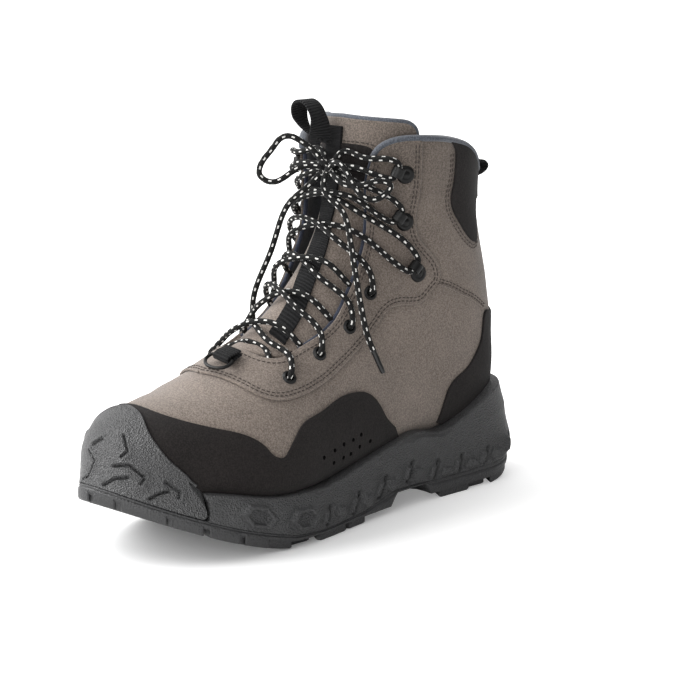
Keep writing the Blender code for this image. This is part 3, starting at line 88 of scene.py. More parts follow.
# Sole's side: along; outsole edge and bed, rim, lean of the rim, as shares of the sizes in "sole"
sole = {"edgeHeight": 0.012, "heelRim": 0.060, "heelLean": 0.007, "treadRim": 0.006, "archRise": 0.011,
        "lugDepth": 0.004, "lugAcross": 0.022, "lugSpace": 0.004, "rollStart": .6875, "bevelEnd": .118,
        "capCore": 0.017, "capWall": 0.003, "capSkirt": 0.020, "capSeat": 0.005, "capUnder": 128}
soleSide = [
    (.000, .67, .67, 1.00, 1.00), (.043, .83, .83, .985, .72), (.095, .98, .98, .940, .43),
    (.135, 1.04, 1.0, .870, .29), (.190, 1.01, 1.0, .758, .21), (.263, 1.0, 1.0, .663, .21),
    (.286, 1.0, 1.0, .677, .21), (.312, 1.04, 1.0, .707, .20), (.365, 1.08, 1.04, .693, .20),
    (.418, 1.04, 1.0, .642, .21), (.447, .88, .85, .610, .23), (.474, .71, .68, .585, .25),
    (.536, .57, .55, .522, .29), (.589, .50, .50, .480, .36), (.655, .53, .50, .480, .43),
    (.707, .64, .52, .485, .47), (.760, .70, .50, .518, .43), (.810, .70, .50, .570, .37),
    (.875, .70, .50, .620, .36), (.930, .70, .50, .650, .71), (1.0, .75, .50, .740, .86),
]
archLine = [(.283, 0), (.312, 1), (.395, 1), (.424, 0)]

# Cut lines on the upper as (turn, station): turn in degrees from the front line, station along it
cutLines = {
    "collar": [(32, 14.55), (35, 15.05), (42, 15.48), (51, 15.70), (62, 15.80), (75, 15.85), (88, 15.83),
               (97, 15.76), (109, 15.62), (130, 15.46), (155, 15.36), (180, 15.34)],
    "throat": [(0, 6.4), (12, 6.42), (24, 6.52), (32, 6.8), (36, 7.24), (40, 7.71), (42, 8.18), (40, 8.84),
               (38, 9.4), (36, 10.0), (35, 10.7), (32, 11.9), (29.5, 13.2), (32, 14.55)],
    "bottom": [(180, 1.6), (168, 2.0), (160, 2.8), (156, 3.8), (154, 5.5), (154, 8.0), (155, 9.2),
               (162, 9.9), (180, 10.3)],
    "capEdge": [(0, 2.88), (20, 2.70), (40, 2.48), (62, 2.55), (79, 2.84), (90, 3.20), (102, 3.53), (125, 3.60)],
    "randTop": [(0, 3.16), (18, 3.20), (38, 3.58), (52, 4.21), (60, 4.72), (66, 5.02), (73, 5.24), (80, 5.42),
                (82, 5.62), (79, 5.80), (73, 6.09), (69, 6.40), (70, 6.90), (71, 7.46), (74, 7.80),
                (77, 8.00), (84, 8.18), (92, 8.24), (104, 8.36)],
    "eyestay": [(0, 5.26), (14, 5.38), (30, 5.56), (42, 5.78), (50, 6.12), (56, 6.70), (59, 7.22),
                (60, 7.80), (60, 8.40), (59, 9.04), (58.5, 9.55), (61, 9.96), (69, 10.54), (72, 10.88),
                (75, 11.33), (78, 11.90), (76, 12.13), (71, 12.22), (65, 12.36), (62.5, 12.7),
                (64, 13.55), (65, 14.72), (63, 15.76)],
    "counter": [(180, 12.9), (155, 12.75), (135, 12.5), (117, 12.16), (113, 11.6), (109, 11.19),
                (101, 10.50), (98, 9.96), (101, 9.72), (110, 9.44), (122, 9.25)],
    "cuff": [(83, 15.82), (87, 15.64), (88.5, 15.30), (88.5, 14.8), (88, 13.98), (92, 13.75), (98, 13.60),
             (106, 13.57), (111, 13.66), (115, 13.95), (119, 14.5), (128, 14.80), (150, 14.86), (180, 14.86)],
    "tongue": [(0, 6.5), (14, 6.55), (26, 6.75), (44, 7.6), (50, 8.6), (52, 10.5), (54, 12.5),
               (58, 14.5), (62.5, 15.7), (61.5, 16.0), (57, 16.2), (49, 16.27), (30, 16.3), (0, 16.36)],
    "insole": [(180, 1.7), (164, 2.1), (153, 3.0), (149, 4.2), (147, 5.6), (147, 8.0), (149, 9.2),
               (156, 9.9), (180, 10.4)],
    "strip": [(19, 7.1), (18, 7.3), (15, 7.9), (10, 8.43), (4, 9.53), (-1, 11.0), (-4, 12.7),
              (-4, 14.6), (-4, 15.95)],
    "backSeam": [(78.5, 11.62), (84, 11.80), (92, 12.00), (104, 12.18), (116, 12.27)],
    "patch": [(-30, 13.1), (30, 13.2), (33, 14.0), (31, 14.95), (12, 15.05), (-12, 15.0), (-32, 14.7),
              (-33, 13.9)],
}
eyeletPlaces = [(44, 6.63), (47, 7.51), (50, 8.45), (48, 9.51)]
hookPlaces = [(66, 11.31), (56, 12.54), (55, 14.34)]
ringPlace = (8, 5.82)

# Soft creases and swellings of the upper: turn, station, half length and half width in plan units,
# depth in metres, slant in degrees
creases = [
    (18, 4.6, 2.2, .30, -.0005, 6), (-22, 4.3, 2.0, .32, -.0005, -8), (62, 4.9, 1.3, .40, .0006, 30),
    (92, 9.6, 1.6, .45, -.0009, 35), (-92, 9.4, 1.6, .45, -.0009, -35), (100, 11.0, 1.5, .40, -.0007, 15),
    (-100, 11.1, 1.5, .40, -.0008, -15), (120, 12.9, 1.4, .35, -.0008, 5), (-120, 12.9, 1.4, .35, -.0008, -5),
    (150, 12.1, 1.6, .40, -.0006, 0), (-150, 12.0, 1.6, .40, -.0006, 0), (76, 7.9, 1.2, .5, .0006, 60),
    (-76, 7.9, 1.2, .5, .0006, -60), (74, 13.6, 1.2, .30, -.0005, 70), (88, 10.7, 1.2, .55, .0007, 60),
    (-86, 10.9, 1.2, .55, .0007, -60), (40, 5.0, 1.0, .22, .0004, 35), (-44, 5.2, 1.0, .22, .0004, -35),
]

# The back of the collar leans in, most beside the heel's tendon
collarTuck = {"depth": 0.0050, "around": (80, 140), "more": 0.0030, "at": 128, "spread": 30, "rise": (12.6, 15.4)}


def naturalCurve(places, values):
    # Natural cubic spline through rows of values at given places
    places = np.asarray(places, float)
    values = np.asarray(values, float)
    step = np.diff(places)
    count = len(places)
    system = np.eye(count)
    bends = np.zeros_like(values)
    for i in range(1, count - 1):
        system[i, i - 1:i + 2] = (step[i - 1], 2 * (step[i - 1] + step[i]), step[i])
        bends[i] = 6 * ((values[i + 1] - values[i]) / step[i] - (values[i] - values[i - 1]) / step[i - 1])
    bends = np.linalg.solve(system, bends)

    def curve(at):
        at = np.atleast_1d(np.asarray(at, float))
        k = np.clip(np.searchsorted(places, at) - 1, 0, count - 2)
        width = step[k][:, None]
        before = (places[k + 1] - at)[:, None] / width
        after = (at - places[k])[:, None] / width
        sag = ((before ** 3 - before) * bends[k] + (after ** 3 - after) * bends[k + 1]) * width ** 2 / 6
        return before * values[k] + after * values[k + 1] + sag

    return curve


def runOf(points):
    # Distance run at each point of a line
    return np.concatenate([[0], np.cumsum(np.linalg.norm(np.diff(points, axis=0), axis=1))])


def atRuns(points, run, wanted):
    return np.stack([np.interp(wanted, run, column) for column in points.T], axis=1)


def unit(rows):
    return rows / np.linalg.norm(rows, axis=1)[:, None]


def smoothStep(value, low, high):
    share = np.clip((value - low) / (high - low), 0, 1)
    return share * share * (3 - 2 * share)


def spring(along):
    toe = np.clip((np.asarray(along) / boot["length"] - sole["rollStart"]) / (1 - sole["rollStart"]), 0, None)
    return boot["toeSpring"] * toe ** 1.45


def tread(along):
    heel = np.clip(1 - np.asarray(along) / (sole["bevelEnd"] * boot["length"]), 0, None)
    return spring(along) + boot["heelBevel"] * heel ** 1.5


def plateUnder(along):
    share, rise = zip(*archLine)
    arch = sole["archRise"] * np.interp(np.asarray(along) / boot["length"], share, rise)
    return np.maximum(tread(along) + sole["lugDepth"], arch)


sideCurve = naturalCurve([row[0] for row in soleSide], [row[1:] for row in soleSide])


def sideValue(along, column):
    return sideCurve(np.clip(np.asarray(along) / boot["length"], 0, 1))[:, column]


def seam(along):
    return tread(along) + sole["edgeHeight"] * sideValue(along, 0)


def bed(along):
    return tread(along) + sole["edgeHeight"] * sideValue(along, 1)


def rim(along):
    return sole["heelRim"] * sideValue(along, 2)


def lean(along):
    return sole["heelLean"] * sideValue(along, 3)


def sectionKnots():
    knots = []
    for width, lowAlong, low, topAlong, top, lateral, medial, broad, lowPower, topPower, lowX, topX in sections:
        ends = []
        for share, height in ((lowAlong, low), (topAlong, top)):
            foot = boot["underfoot"] + min(height, 1) * (boot["instepHeight"] - boot["underfoot"])
            along = share * boot["length"]
            ends += [along, float(spring(along)) + foot + max(height - 1, 0) * boot["shaftRise"]]
        knots.append(ends + [lateral * boot[width], medial * boot[width], broad, lowPower, topPower,
                             lowX * boot["ballWidth"], topX * boot["ballWidth"]])
    beyond = [row[2:4] + row[0:2] + [-row[4], -row[5]] + row[6:] for row in (knots[2], knots[1])]
    return np.array(beyond + knots)


sectionCurve = naturalCurve(np.arange(-2, len(sections)), sectionKnots())


def lastSkin(turn, station):
    # Points of the last's surface; turn in degrees
    (lowAlong, lowZ, topAlong, topZ, lateral, medial, broad,
     lowPower, topPower, lowX, topX) = sectionCurve(station).T
    angle = np.radians(turn)
    up = np.cos(angle)
    out = np.sin(angle)
    power = 2 / np.where(up >= 0, topPower, lowPower)
    rise = np.abs(up) ** power
    level = np.where(up >= 0, broad + (1 - broad) * rise, broad - broad * rise)
    half = np.where(out >= 0, lateral, -medial) * np.abs(out) ** power
    x = lowX + (topX - lowX) * level + half
    along = lowAlong + (topAlong - lowAlong) * level
    return np.stack([x, boot["heelToOrigin"] - along, lowZ + (topZ - lowZ) * level], axis=1)


def lastNormals(turn, station):
    tip = 0.02
    near = np.maximum(station, tip)
    across = lastSkin(turn + 0.5, near) - lastSkin(turn - 0.5, near)
    normal = unit(np.cross(across, lastSkin(turn, near + tip) - lastSkin(turn, near - tip)))
    normal[station < tip] = (0, -1, 0)
    return normal


def gape(turn, station):
    # The medial flap stands away from the tongue, more towards the front line and the top
    turn = (turn + 180) % 360 - 180
    return boot["medialGape"] * smoothStep(turn, -95, -35) * (turn < 0) * smoothStep(station, 6.8, 10)


def softForm(turn, station):
    turn = (turn + 180) % 360 - 180
    total = np.zeros(len(turn))
    for atTurn, atStation, halfLength, halfWidth, depth, slant in creases:
        across = (turn - atTurn) / planTurn
        rise = (station - atStation) * planStation
        c, s = math.cos(math.radians(slant)), math.sin(math.radians(slant))
        long, wide = (across * c + rise * s) / halfLength, (rise * c - across * s) / halfWidth
        total += depth * np.exp(-long ** 2 - wide ** 2)
    back = np.abs(turn)
    tuck = collarTuck["depth"] * smoothStep(back, *collarTuck["around"])
    tuck += collarTuck["more"] * np.exp(-((back - collarTuck["at"]) / collarTuck["spread"]) ** 2)
    return total - tuck * smoothStep(station, *collarTuck["rise"])


def onSkin(turn, station, lift=0.0, open_=True):
    # Points at a lift above the upper; the tongue and what lies on it use the closed form
    turn = np.atleast_1d(np.asarray(turn, float))
    station = np.atleast_1d(np.asarray(station, float))
    raised = np.broadcast_to(np.asarray(lift, float), turn.shape).copy()
    if open_:
        raised += gape(turn, station) + softForm(turn, station)
    return lastSkin(turn, station) + lastNormals(turn, station) * raised[:, None]


def spot(turn, station, lift=0.0, open_=True):
    return Vector(onSkin(turn, station, lift, open_)[0])


# Plan units: about 13 mm each way on the upper
planTurn, planStation = 15.0, 1.4


def toPlan(points):
    points = np.asarray(points, float)
    return np.column_stack([points[:, 0] / planTurn, points[:, 1] * planStation])


def fromPlan(plan):
    return plan[:, 0] * planTurn, plan[:, 1] / planStation


def skinPath(plan, lift=0.0, open_=True):
    return onSkin(*fromPlan(plan), lift, open_)


def smoothLine(points, spacing=0.1, closed=False):
    plan = toPlan(points)
    if closed:
        plan = np.vstack([plan, plan[:1]])
    run = runOf(plan)
    count = max(2, int(math.ceil(run[-1] / spacing)) + 1)
    line = naturalCurve(run, plan)(np.linspace(0, run[-1], count))
    return line[:-1] if closed else line


def mirrored(plan):
    return (plan * np.array([-1.0, 1.0]))[::-1]


def aroundBack(plan):
    other = plan.copy()
    other[:, 0] = 360 / planTurn - other[:, 0]
    return other[::-1]


def joinLines(*lines):
    loop = []
    for line in lines:
        for point in line:
            if not loop or np.linalg.norm(point - loop[-1]) > 0.012:
                loop.append(point)
    if np.linalg.norm(loop[0] - loop[-1]) < 0.012:
        loop.pop()
    return np.array(loop)


def between(plan, low, high):
    turns = plan[:, 0] * planTurn
    return plan[(turns > low) & (turns < high)]


def isInside(loop, points):
    inside = np.zeros(len(points), bool)
    for (x1, y1), (x2, y2) in zip(loop, np.roll(loop, -1, axis=0)):
        crosses = (y1 > points[:, 1]) != (y2 > points[:, 1])
        slope = (x2 - x1) / (y2 - y1) if y2 != y1 else 0.0
        inside ^= crosses & (points[:, 0] < x1 + slope * (points[:, 1] - y1))
    return inside


def flatTree(points):
    # Finds the nearest of flat points
    tree = KDTree(len(points))
    for k, (x, y) in enumerate(points):
        tree.insert((x, y, 0), k)
    tree.balance()
    return tree


def triangulated(loop, inner, clear):
    # Triangles inside a closed outline, through the inner points that keep clear of it
    inner = inner[isInside(loop, inner)]
    tree = flatTree(loop)
    inner = inner[[tree.find((x, y, 0))[2] > clear for x, y in inner]]
    count = len(loop)
    corners = [Vector(point) for point in loop] + [Vector(point) for point in inner]
    edges = [(k, (k + 1) % count) for k in range(count)]
    knots, _, faces, sources, _, _ = delaunay_2d_cdt(corners, edges, [], 1, 1e-7)
    return np.array([tuple(knot) for knot in knots]), [tuple(face) for face in faces], sources


def fillPlan(loop, spacing):
    # Evenly spaced triangles inside a closed plan outline
    low, high = loop.min(axis=0), loop.max(axis=0)
    inner = []
    for number, row in enumerate(np.arange(low[1] + spacing * 0.5, high[1], spacing * 0.866)):
        columns = np.arange(low[0] + spacing * (0.5 + 0.5 * (number % 2)), high[0], spacing)
        inner.append(np.column_stack([columns, np.full(len(columns), row)]))
    return triangulated(loop, np.vstack(inner), spacing * 0.45)[:2]


def ringFaces(count, wide, closed=False, ends=True, start=0):
    # Faces that join equal rings of points in turn
    faces = []
    for k in range(count if closed else count - 1):
        here, there = start + k * wide, start + (k + 1) % count * wide
        faces += [(here + n, here + (n + 1) % wide, there + (n + 1) % wide, there + n) for n in range(wide)]
    if ends and not closed:
        last = start + (count - 1) * wide
        faces += [tuple(range(start, start + wide)), tuple(reversed(range(last, last + wide)))]
    return faces


def welded(points, faces, digits):
    # Joins corners that lie in one place; triangles that fold up are left out
    first = {}
    same = np.array([first.setdefault(tuple(np.round(point, digits)), k) for k, point in enumerate(points)])
    faces = [tuple(same[list(face)]) for face in faces]
    return same, [face for face in faces if len(set(face)) == 3]


def twoSheets(faces, count):
    # Faces of a closed body: a sheet, its twin of equal corners, and the wall around them
    sides = {(face[k], face[(k + 1) % 3]) for face in faces for k in range(3)}
    wall = [(b, a, a + count, b + count) for a, b in sides if (b, a) not in sides]
    return faces + [tuple(k + count for k in reversed(face)) for face in faces] + wall


def placed(name, data):
    made = bpy.data.objects.new(name, data)
    bpy.context.scene.collection.objects.link(made)
    return made


def onBoot(name, mesh, stands=None):
    # Every piece lies at the origin and rides on the boot's one body
    piece = placed(name, mesh)
    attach(piece, "root")
    if stands:
        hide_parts(stands)
    return piece


def addPiece(name, slot, points, faces, *finishes, stands=None, uv=None, smoothAngle=50, marks=None):
    # marks gives each face the number of its finish
    mesh = bpy.data.meshes.new(name)
    mesh.from_pydata([tuple(map(float, p)) for p in points], [], [tuple(int(k) for k in face) for face in faces])
    for finish in finishes:
        mesh.materials.append(finish.material)
    if marks is not None:
        mesh.polygons.foreach_set("material_index", np.asarray(marks, np.int32))
    if uv is not None:
        layer = mesh.uv_layers.new(name="plan")
        corner = np.zeros(len(mesh.loops), np.int32)
        mesh.loops.foreach_get("vertex_index", corner)
        layer.data.foreach_set("uv", np.asarray(uv, np.float32)[corner].ravel())
    work = bmesh.new()
    work.from_mesh(mesh)
    bmesh.ops.recalc_face_normals(work, faces=work.faces)
    work.to_mesh(mesh)
    work.free()
    mesh.shade_smooth()
    mesh.set_sharp_from_angle(angle=math.radians(smoothAngle))
    return onBoot(name, mesh, stands)


def bevelled(piece, width, segments=2):
    edge = piece.modifiers.new("edge", "BEVEL")
    edge.width, edge.segments = width, segments
    edge.limit_method, edge.angle_limit = "ANGLE", math.radians(55)


def panel(name, slot, loop, low, high, *finishes, stands=None, spacing=0.22, open_=True, bevel=0.0004):
    # A closed body between two sheets over a plan outline. low and high are lifts or functions of
    # turn and station. The first finish is the outside, the second the inside.
    knots, faces = fillPlan(loop, spacing)
    turns, stations = fromPlan(knots)
    below, above = (onSkin(turns, stations, lift(turns, stations) if callable(lift) else lift, open_)
                    for lift in (low, high))
    faces = welded(above, faces, 7)[1]
    used = sorted({k for face in faces for k in face})
    number = {k: n for n, k in enumerate(used)}
    faces = [tuple(number[k] for k in face) for face in faces]
    body = twoSheets(faces, len(used))
    marks = np.zeros(len(body), int)
    marks[len(faces):2 * len(faces)] = len(finishes) - 1
    piece = addPiece(name, slot, np.vstack([above[used], below[used]]), body, *finishes, stands=stands,
                     uv=np.vstack([knots[used]] * 2), marks=marks)
    if bevel:
        bevelled(piece, bevel)
    return piece


def addNode(tree, kind, settings=None, inputs=None):
    # A node with its settings; an input takes a value or is linked from a socket
    made = tree.nodes.new(kind)
    for key, value in (settings or {}).items():
        setattr(made, key, value)
    for key, value in (inputs or {}).items():
        if isinstance(value, bpy.types.NodeSocket):
            tree.links.new(value, made.inputs[key])
        else:
            made.inputs[key].default_value = value
    return made


# Shader maths as Python expressions
class Value:
    def __init__(self, finish, socket):
        self.finish = finish
        self.socket = socket

    def math(self, operation, *others):
        return self.finish.node("ShaderNodeMath", {"operation": operation}, dict(enumerate((self, *others))))

    def __add__(self, other):
        return self.math("ADD", other)

    def __sub__(self, other):
        return self.math("SUBTRACT", other)

    def __mul__(self, other):
        return self.math("MULTIPLY", other)

    def over(self, low, high):
        # 0 below low, 1 above high, smooth between
        return self.finish.node("ShaderNodeMapRange", {"interpolation_type": "SMOOTHSTEP"},
                                {"Value": self, "From Min": low, "From Max": high})


class Finish:
    # A material of one Principled shader and the nodes that feed it
    def __init__(self, name, colour, roughness, **fixed):
        self.material = bpy.data.materials.new(name)
        self.material.use_nodes = True
        self.tree = self.material.node_tree
        self.shader = self.tree.nodes["Principled BSDF"]
        self.set("Base Color", (*colour, 1))
        self.set("Roughness", roughness)
        for socket, value in fixed.items():
            self.set(socket.replace("_", " "), value)
        self.place = self.node("ShaderNodeTexCoord", output="Object")
        self.plan = self.node("ShaderNodeTexCoord", output="UV")

    def set(self, socket, value):
        if isinstance(value, Value):
            self.tree.links.new(value.socket, self.shader.inputs[socket])
        else:
            self.shader.inputs[socket].default_value = value

    def node(self, kind, settings=None, inputs=None, output=0):
        inputs = {key: getattr(value, "socket", value) for key, value in (inputs or {}).items()}
        return Value(self, addNode(self.tree, kind, settings, inputs).outputs[output])

    def noise(self, scale, detail=3.0, roughness=0.55, stretch=None):
        where = self.place
        if stretch:
            where = self.node("ShaderNodeMapping", None, {"Vector": where, "Scale": stretch})
        return self.node("ShaderNodeTexNoise", None, {"Vector": where, "Scale": scale, "Detail": detail,
                                                      "Roughness": roughness})

    def axis(self, where, number):
        return self.node("ShaderNodeSeparateXYZ", None, {"Vector": where}, output=number)

    def mix(self, factor, first, second):
        first = first if isinstance(first, Value) else (*first, 1)
        second = second if isinstance(second, Value) else (*second, 1)
        return self.node("ShaderNodeMix", {"data_type": "RGBA"}, {0: factor, 6: first, 7: second}, output=2)

    def bump(self, *heights):
        # Bump layers of (height value, depth in metres), finest last
        normal = None
        for height, depth in heights:
            inputs = {"Height": height, "Distance": depth, "Strength": 1.0}
            if normal:
                inputs["Normal"] = normal
            normal = self.node("ShaderNodeBump", None, inputs)
        self.set("Normal", normal)


def clothFinish(name, dark, light, nap, weave=1600, sheen=0.25, roughness=0.9, above=None):
    # Brushed or coated textile: mottled colour, fine fibre fleck, a weak nap; above darkens the shaft's colour as
    # painted shade
    made = Finish(name, light, roughness, Sheen_Weight=sheen, Sheen_Roughness=0.5, Specular_IOR_Level=0.25)
    mottle = made.noise(38, 4)
    fleck = made.noise(weave * 1.3, 2, 0.7)
    fibre = made.noise(weave, 2, 0.6, stretch=(1.0, 1.0, 0.35))
    tone = mottle.over(0.25, 0.75) * 0.22 + fleck.over(0.36, 0.66) * 0.78
    colour = made.mix(tone, dark, light)
    if above:
        # Painted shade: the shaft's colour is made darker than the vamp's, standing in for the weaker light that
        # falls on it
        shaft = made.mix(tone, tuple(c * above for c in dark), tuple(c * above for c in light))
        colour = made.mix(made.axis(made.place, 2).over(0.09, 0.20), colour, shaft)
    made.set("Base Color", colour)
    made.set("Roughness", fleck * 0.12 + (roughness - 0.08))
    made.bump((mottle, 0.0006), (fibre, nap))
    return made


def rubberFinish(name, colour, worn, grain, grainDepth, roughness):
    # Moulded rubber: grain, faint chalky scuffs, gloss that varies
    made = Finish(name, colour, roughness, Specular_IOR_Level=0.62)
    cloud = made.noise(30, 5, 0.6)
    fine = made.noise(grain * 2.2, 2, 0.6)
    cells = made.node("ShaderNodeTexVoronoi", {"feature": "F1"}, {"Vector": made.place, "Scale": grain})
    scuff = made.noise(95, 6, 0.75, stretch=(1.0, 0.4, 1.6))
    marks = scuff.over(0.56, 0.70) * cloud.over(0.42, 0.62)
    tone = made.mix(cloud.over(0.3, 0.75) * 0.5, colour, tuple(c * 1.25 for c in colour))
    made.set("Base Color", made.mix(marks * 0.35, tone, worn))
    made.set("Roughness", cloud * 0.16 + (marks * 0.12 + (roughness - 0.08)))
    made.bump((cloud, 0.0004), (cells, grainDepth), (fine, grainDepth * 0.35))
    return made


# above=0.74 darkens the colour of the shaft: painted shade
taupe = clothFinish("taupeTextile", (0.112, 0.091, 0.076), (0.262, 0.216, 0.184), 0.00030, weave=900, above=0.74)
taupeStay = clothFinish("taupeEyestay", (0.108, 0.088, 0.074), (0.254, 0.209, 0.178), 0.00030, weave=900,
                        above=0.74)
suede = clothFinish("blackNap", (0.0060, 0.0050, 0.0048), (0.021, 0.0172, 0.0165), 0.00020, weave=1000, sheen=0.06,
                    roughness=0.95)
knit = clothFinish("greyKnit", (0.045, 0.050, 0.062), (0.110, 0.121, 0.142), 0.00030, weave=900, sheen=0.3)
lining = clothFinish("darkLining", (0.030, 0.033, 0.042), (0.060, 0.066, 0.080), 0.00025, weave=800)
piping = clothFinish("darkBluePiping", (0.018, 0.022, 0.036), (0.040, 0.048, 0.075), 0.00015, weave=1500)
thread = clothFinish("taupeThread", (0.040, 0.032, 0.028), (0.070, 0.057, 0.050), 0.00005, weave=3000, sheen=0.1)
treadRubber = rubberFinish("treadRubber", (0.021, 0.021, 0.022), (0.070, 0.070, 0.071), 900, 0.00030, 0.48)
wallRubber = rubberFinish("wallRubber", (0.034, 0.034, 0.035), (0.080, 0.080, 0.081), 950, 0.00060, 0.46)
capRubber = rubberFinish("capRubber", (0.043, 0.043, 0.044), (0.105, 0.105, 0.105), 1050, 0.00080, 0.37)

# Painted shade: a near-black matte finish for discs that stand in for the shaded insides of the eyelets and vents
dark = Finish("paintedHoleShade", (0.002, 0.002, 0.002), 0.95, Specular_IOR_Level=0.02)
blackMetal = Finish("blackMetal", (0.018, 0.018, 0.018), 0.38, Metallic=0.7)
wear = blackMetal.noise(140, 4)
worn = blackMetal.mix(wear.over(0.52, 0.72) * 0.5, (0.014, 0.014, 0.014), (0.05, 0.048, 0.045))
blackMetal.set("Base Color", worn)
blackMetal.set("Roughness", wear * 0.25 + 0.26)
blackMetal.bump((blackMetal.noise(900, 2), 0.00002))
tipPlastic = Finish("laceTip", (0.012, 0.012, 0.012), 0.3)
tipPlastic.bump((tipPlastic.noise(600, 2), 0.00003))


def webbingFinish(name, ribs):
    # Ribbed tape: ribs across, which follow the piece's plan
    made = Finish(name, (0.012, 0.012, 0.013), 0.85, Sheen_Weight=0.04, Specular_IOR_Level=0.16)
    along = made.axis(made.plan, 1)
    across = made.axis(made.plan, 0)
    rib = (along * (ribs * 2 * math.pi)).math("SINE")
    warp = (across * (ribs * 3.1 * 2 * math.pi)).math("SINE")
    fuzz = made.noise(1500, 2)
    # The colour is darker in the ribs' troughs, following the bump: painted shade; the fuzz adds random tone
    made.set("Base Color", made.mix(rib.over(-0.6, 0.8) * 0.8 + fuzz * 0.2, (0.004, 0.004, 0.0045),
                                    (0.019, 0.019, 0.020)))
    made.bump((rib, 0.00028), (warp, 0.00008), (fuzz, 0.00008))
    return made


webbing = webbingFinish("ribbedWebbing", 8.5)
loopWebbing = webbingFinish("loopWebbing", 640)

# Round braided lace with paired pale flecks; its plan is (metres along, share of the way round)
laceCord = Finish("laceCord", (0.012, 0.012, 0.012), 0.8, Sheen_Weight=0.04, Specular_IOR_Level=0.16)
fleck = {"pitch": 0.0056, "length": 0.34, "width": 0.17}
laceAlong = laceCord.axis(laceCord.plan, 0) * (1 / fleck["pitch"])
laceRound = laceCord.axis(laceCord.plan, 1)
flecks = None
for shift, turnAt in ((0.0, 0.10), (0.26, 0.60)):
    step = (laceAlong + shift).math("FRACT")
    way = (laceRound + turnAt).math("FRACT")
    mark = step.math("LESS_THAN", fleck["length"]) * way.math("LESS_THAN", fleck["width"])
    flecks = mark if flecks is None else flecks.math("MAXIMUM", mark)
braid = (laceAlong * (3 * 2 * math.pi) + laceRound * (4 * 2 * math.pi)).math("SINE")
counterBraid = (laceAlong * (3 * 2 * math.pi) - laceRound * (4 * 2 * math.pi)).math("SINE")
laceCord.set("Base Color", laceCord.mix(flecks, (0.010, 0.010, 0.010), (0.80, 0.79, 0.76)))
laceCord.bump((braid.math("MAXIMUM", counterBraid), 0.00018))
print("finishes made")


# Camera at the photograph's angle, and soft studio light
def aimed(position, target):
    return (Vector(target) - Vector(position)).to_track_quat("-Z", "Y").to_euler()


view = {"azimuth": 45.14, "elevation": 11.78, "distance": 1.2864, "lens": 116.74, "right": 0.0303, "up": 0.0037}
a, e = math.radians(view["azimuth"]), math.radians(view["elevation"])
backward = Vector((math.sin(a) * math.cos(e), -math.cos(a) * math.cos(e), math.sin(e)))
rightward = Vector((math.cos(a), math.sin(a), 0))
target = Vector((0, -0.1125, 0.09)) + rightward * view["right"] + backward.cross(rightward) * view["up"]
cameraData = bpy.data.cameras.new("camera")
cameraData.lens = view["lens"]
cameraData.sensor_width = 36
camera = placed("camera", cameraData)
camera.location = target + backward * view["distance"]
camera.rotation_euler = aimed(camera.location, target)
bpy.context.scene.camera = camera

# Lamps: place, width of the disc and power
studio = {"key": ((-1.3, -1.3, 1.5), 1.9, 64), "fill": ((0.75, -1.9, 0.6), 1.4, 13),
          "rimLight": ((-0.9, 1.2, 1.3), 1.2, 3)}
for name, (position, size, power) in studio.items():
    lamp = bpy.data.lights.new(name, "AREA")
    lamp.shape = "DISK"
    lamp.size = size
    lamp.energy = power
    light = placed(name, lamp)
    light.location = position
    light.rotation_euler = aimed(position, (0, -0.1, 0.08))

# White for the camera; for the boot a softbox to the front left and a darker room to the right
world = bpy.data.worlds.new("studio")
world.use_nodes = True
room = world.node_tree
backdrop = room.nodes["Background"]
backdrop.inputs["Color"].default_value = (1, 1, 1, 1)
facing = addNode(room, "ShaderNodeTexCoord").outputs["Generated"]
softbox = Vector((-0.62, -0.45, 0.64)).normalized()
towards = addNode(room, "ShaderNodeVectorMath", {"operation": "DOT_PRODUCT"}, {0: facing, 1: softbox})
spreadLight = addNode(room, "ShaderNodeMapRange", {"interpolation_type": "SMOOTHSTEP"}, {
    "Value": towards.outputs["Value"], "From Min": -0.55, "From Max": 0.95, "To Min": 0.15, "To Max": 1.15})
toCamera = addNode(room, "ShaderNodeLightPath").outputs["Is Camera Ray"]
choice = addNode(room, "ShaderNodeMix", None, {0: toCamera, 2: spreadLight.outputs[0], 3: 1.02})
room.links.new(choice.outputs[0], backdrop.inputs["Strength"])
bpy.context.scene.world = world
bpy.context.scene.view_settings.view_transform = "Standard"

floorMesh = bpy.data.meshes.new("floor")
half = 15
floorMesh.from_pydata([(-half, -half, 0), (half, -half, 0), (half, half, 0), (-half, half, 0)], [], [(0, 1, 2, 3)])
floor = placed("floor", floorMesh)
# Painted light: for camera rays the floor glows, weakly by the toe and more further away, which washes out the boot's
# cast shadow away from the toe
floorFinish = Finish("paleFloor", (0.88, 0.88, 0.88), 0.8, Specular_IOR_Level=0.0, Emission_Strength=1.0)
farAway = floorFinish.node("ShaderNodeVectorMath", {"operation": "DISTANCE"},
                           {0: floorFinish.place, 1: (-0.08, -0.24, 0)}, output="Value")
seen = floorFinish.node("ShaderNodeLightPath", output="Is Camera Ray")
paintedFloorLight = floorFinish.mix(farAway.over(0.08, 0.46), (0.08, 0.08, 0.08), (0.58, 0.58, 0.58))
floorFinish.set("Emission Color", floorFinish.mix(seen, (0, 0, 0), paintedFloorLight))
floorMesh.materials.append(floorFinish.material)
print("camera, light and floor made")


def spacedPath(points, spacing):
    # Even points on a smooth curve through the given ones
    points = np.array([tuple(p) for p in points], float)
    run = runOf(points)
    fine = naturalCurve(run, points)(np.linspace(0, run[-1], 60 * len(points)))
    run = runOf(fine)
    return atRuns(fine, run, np.linspace(0, run[-1], max(4, int(round(run[-1] / spacing)) + 1)))


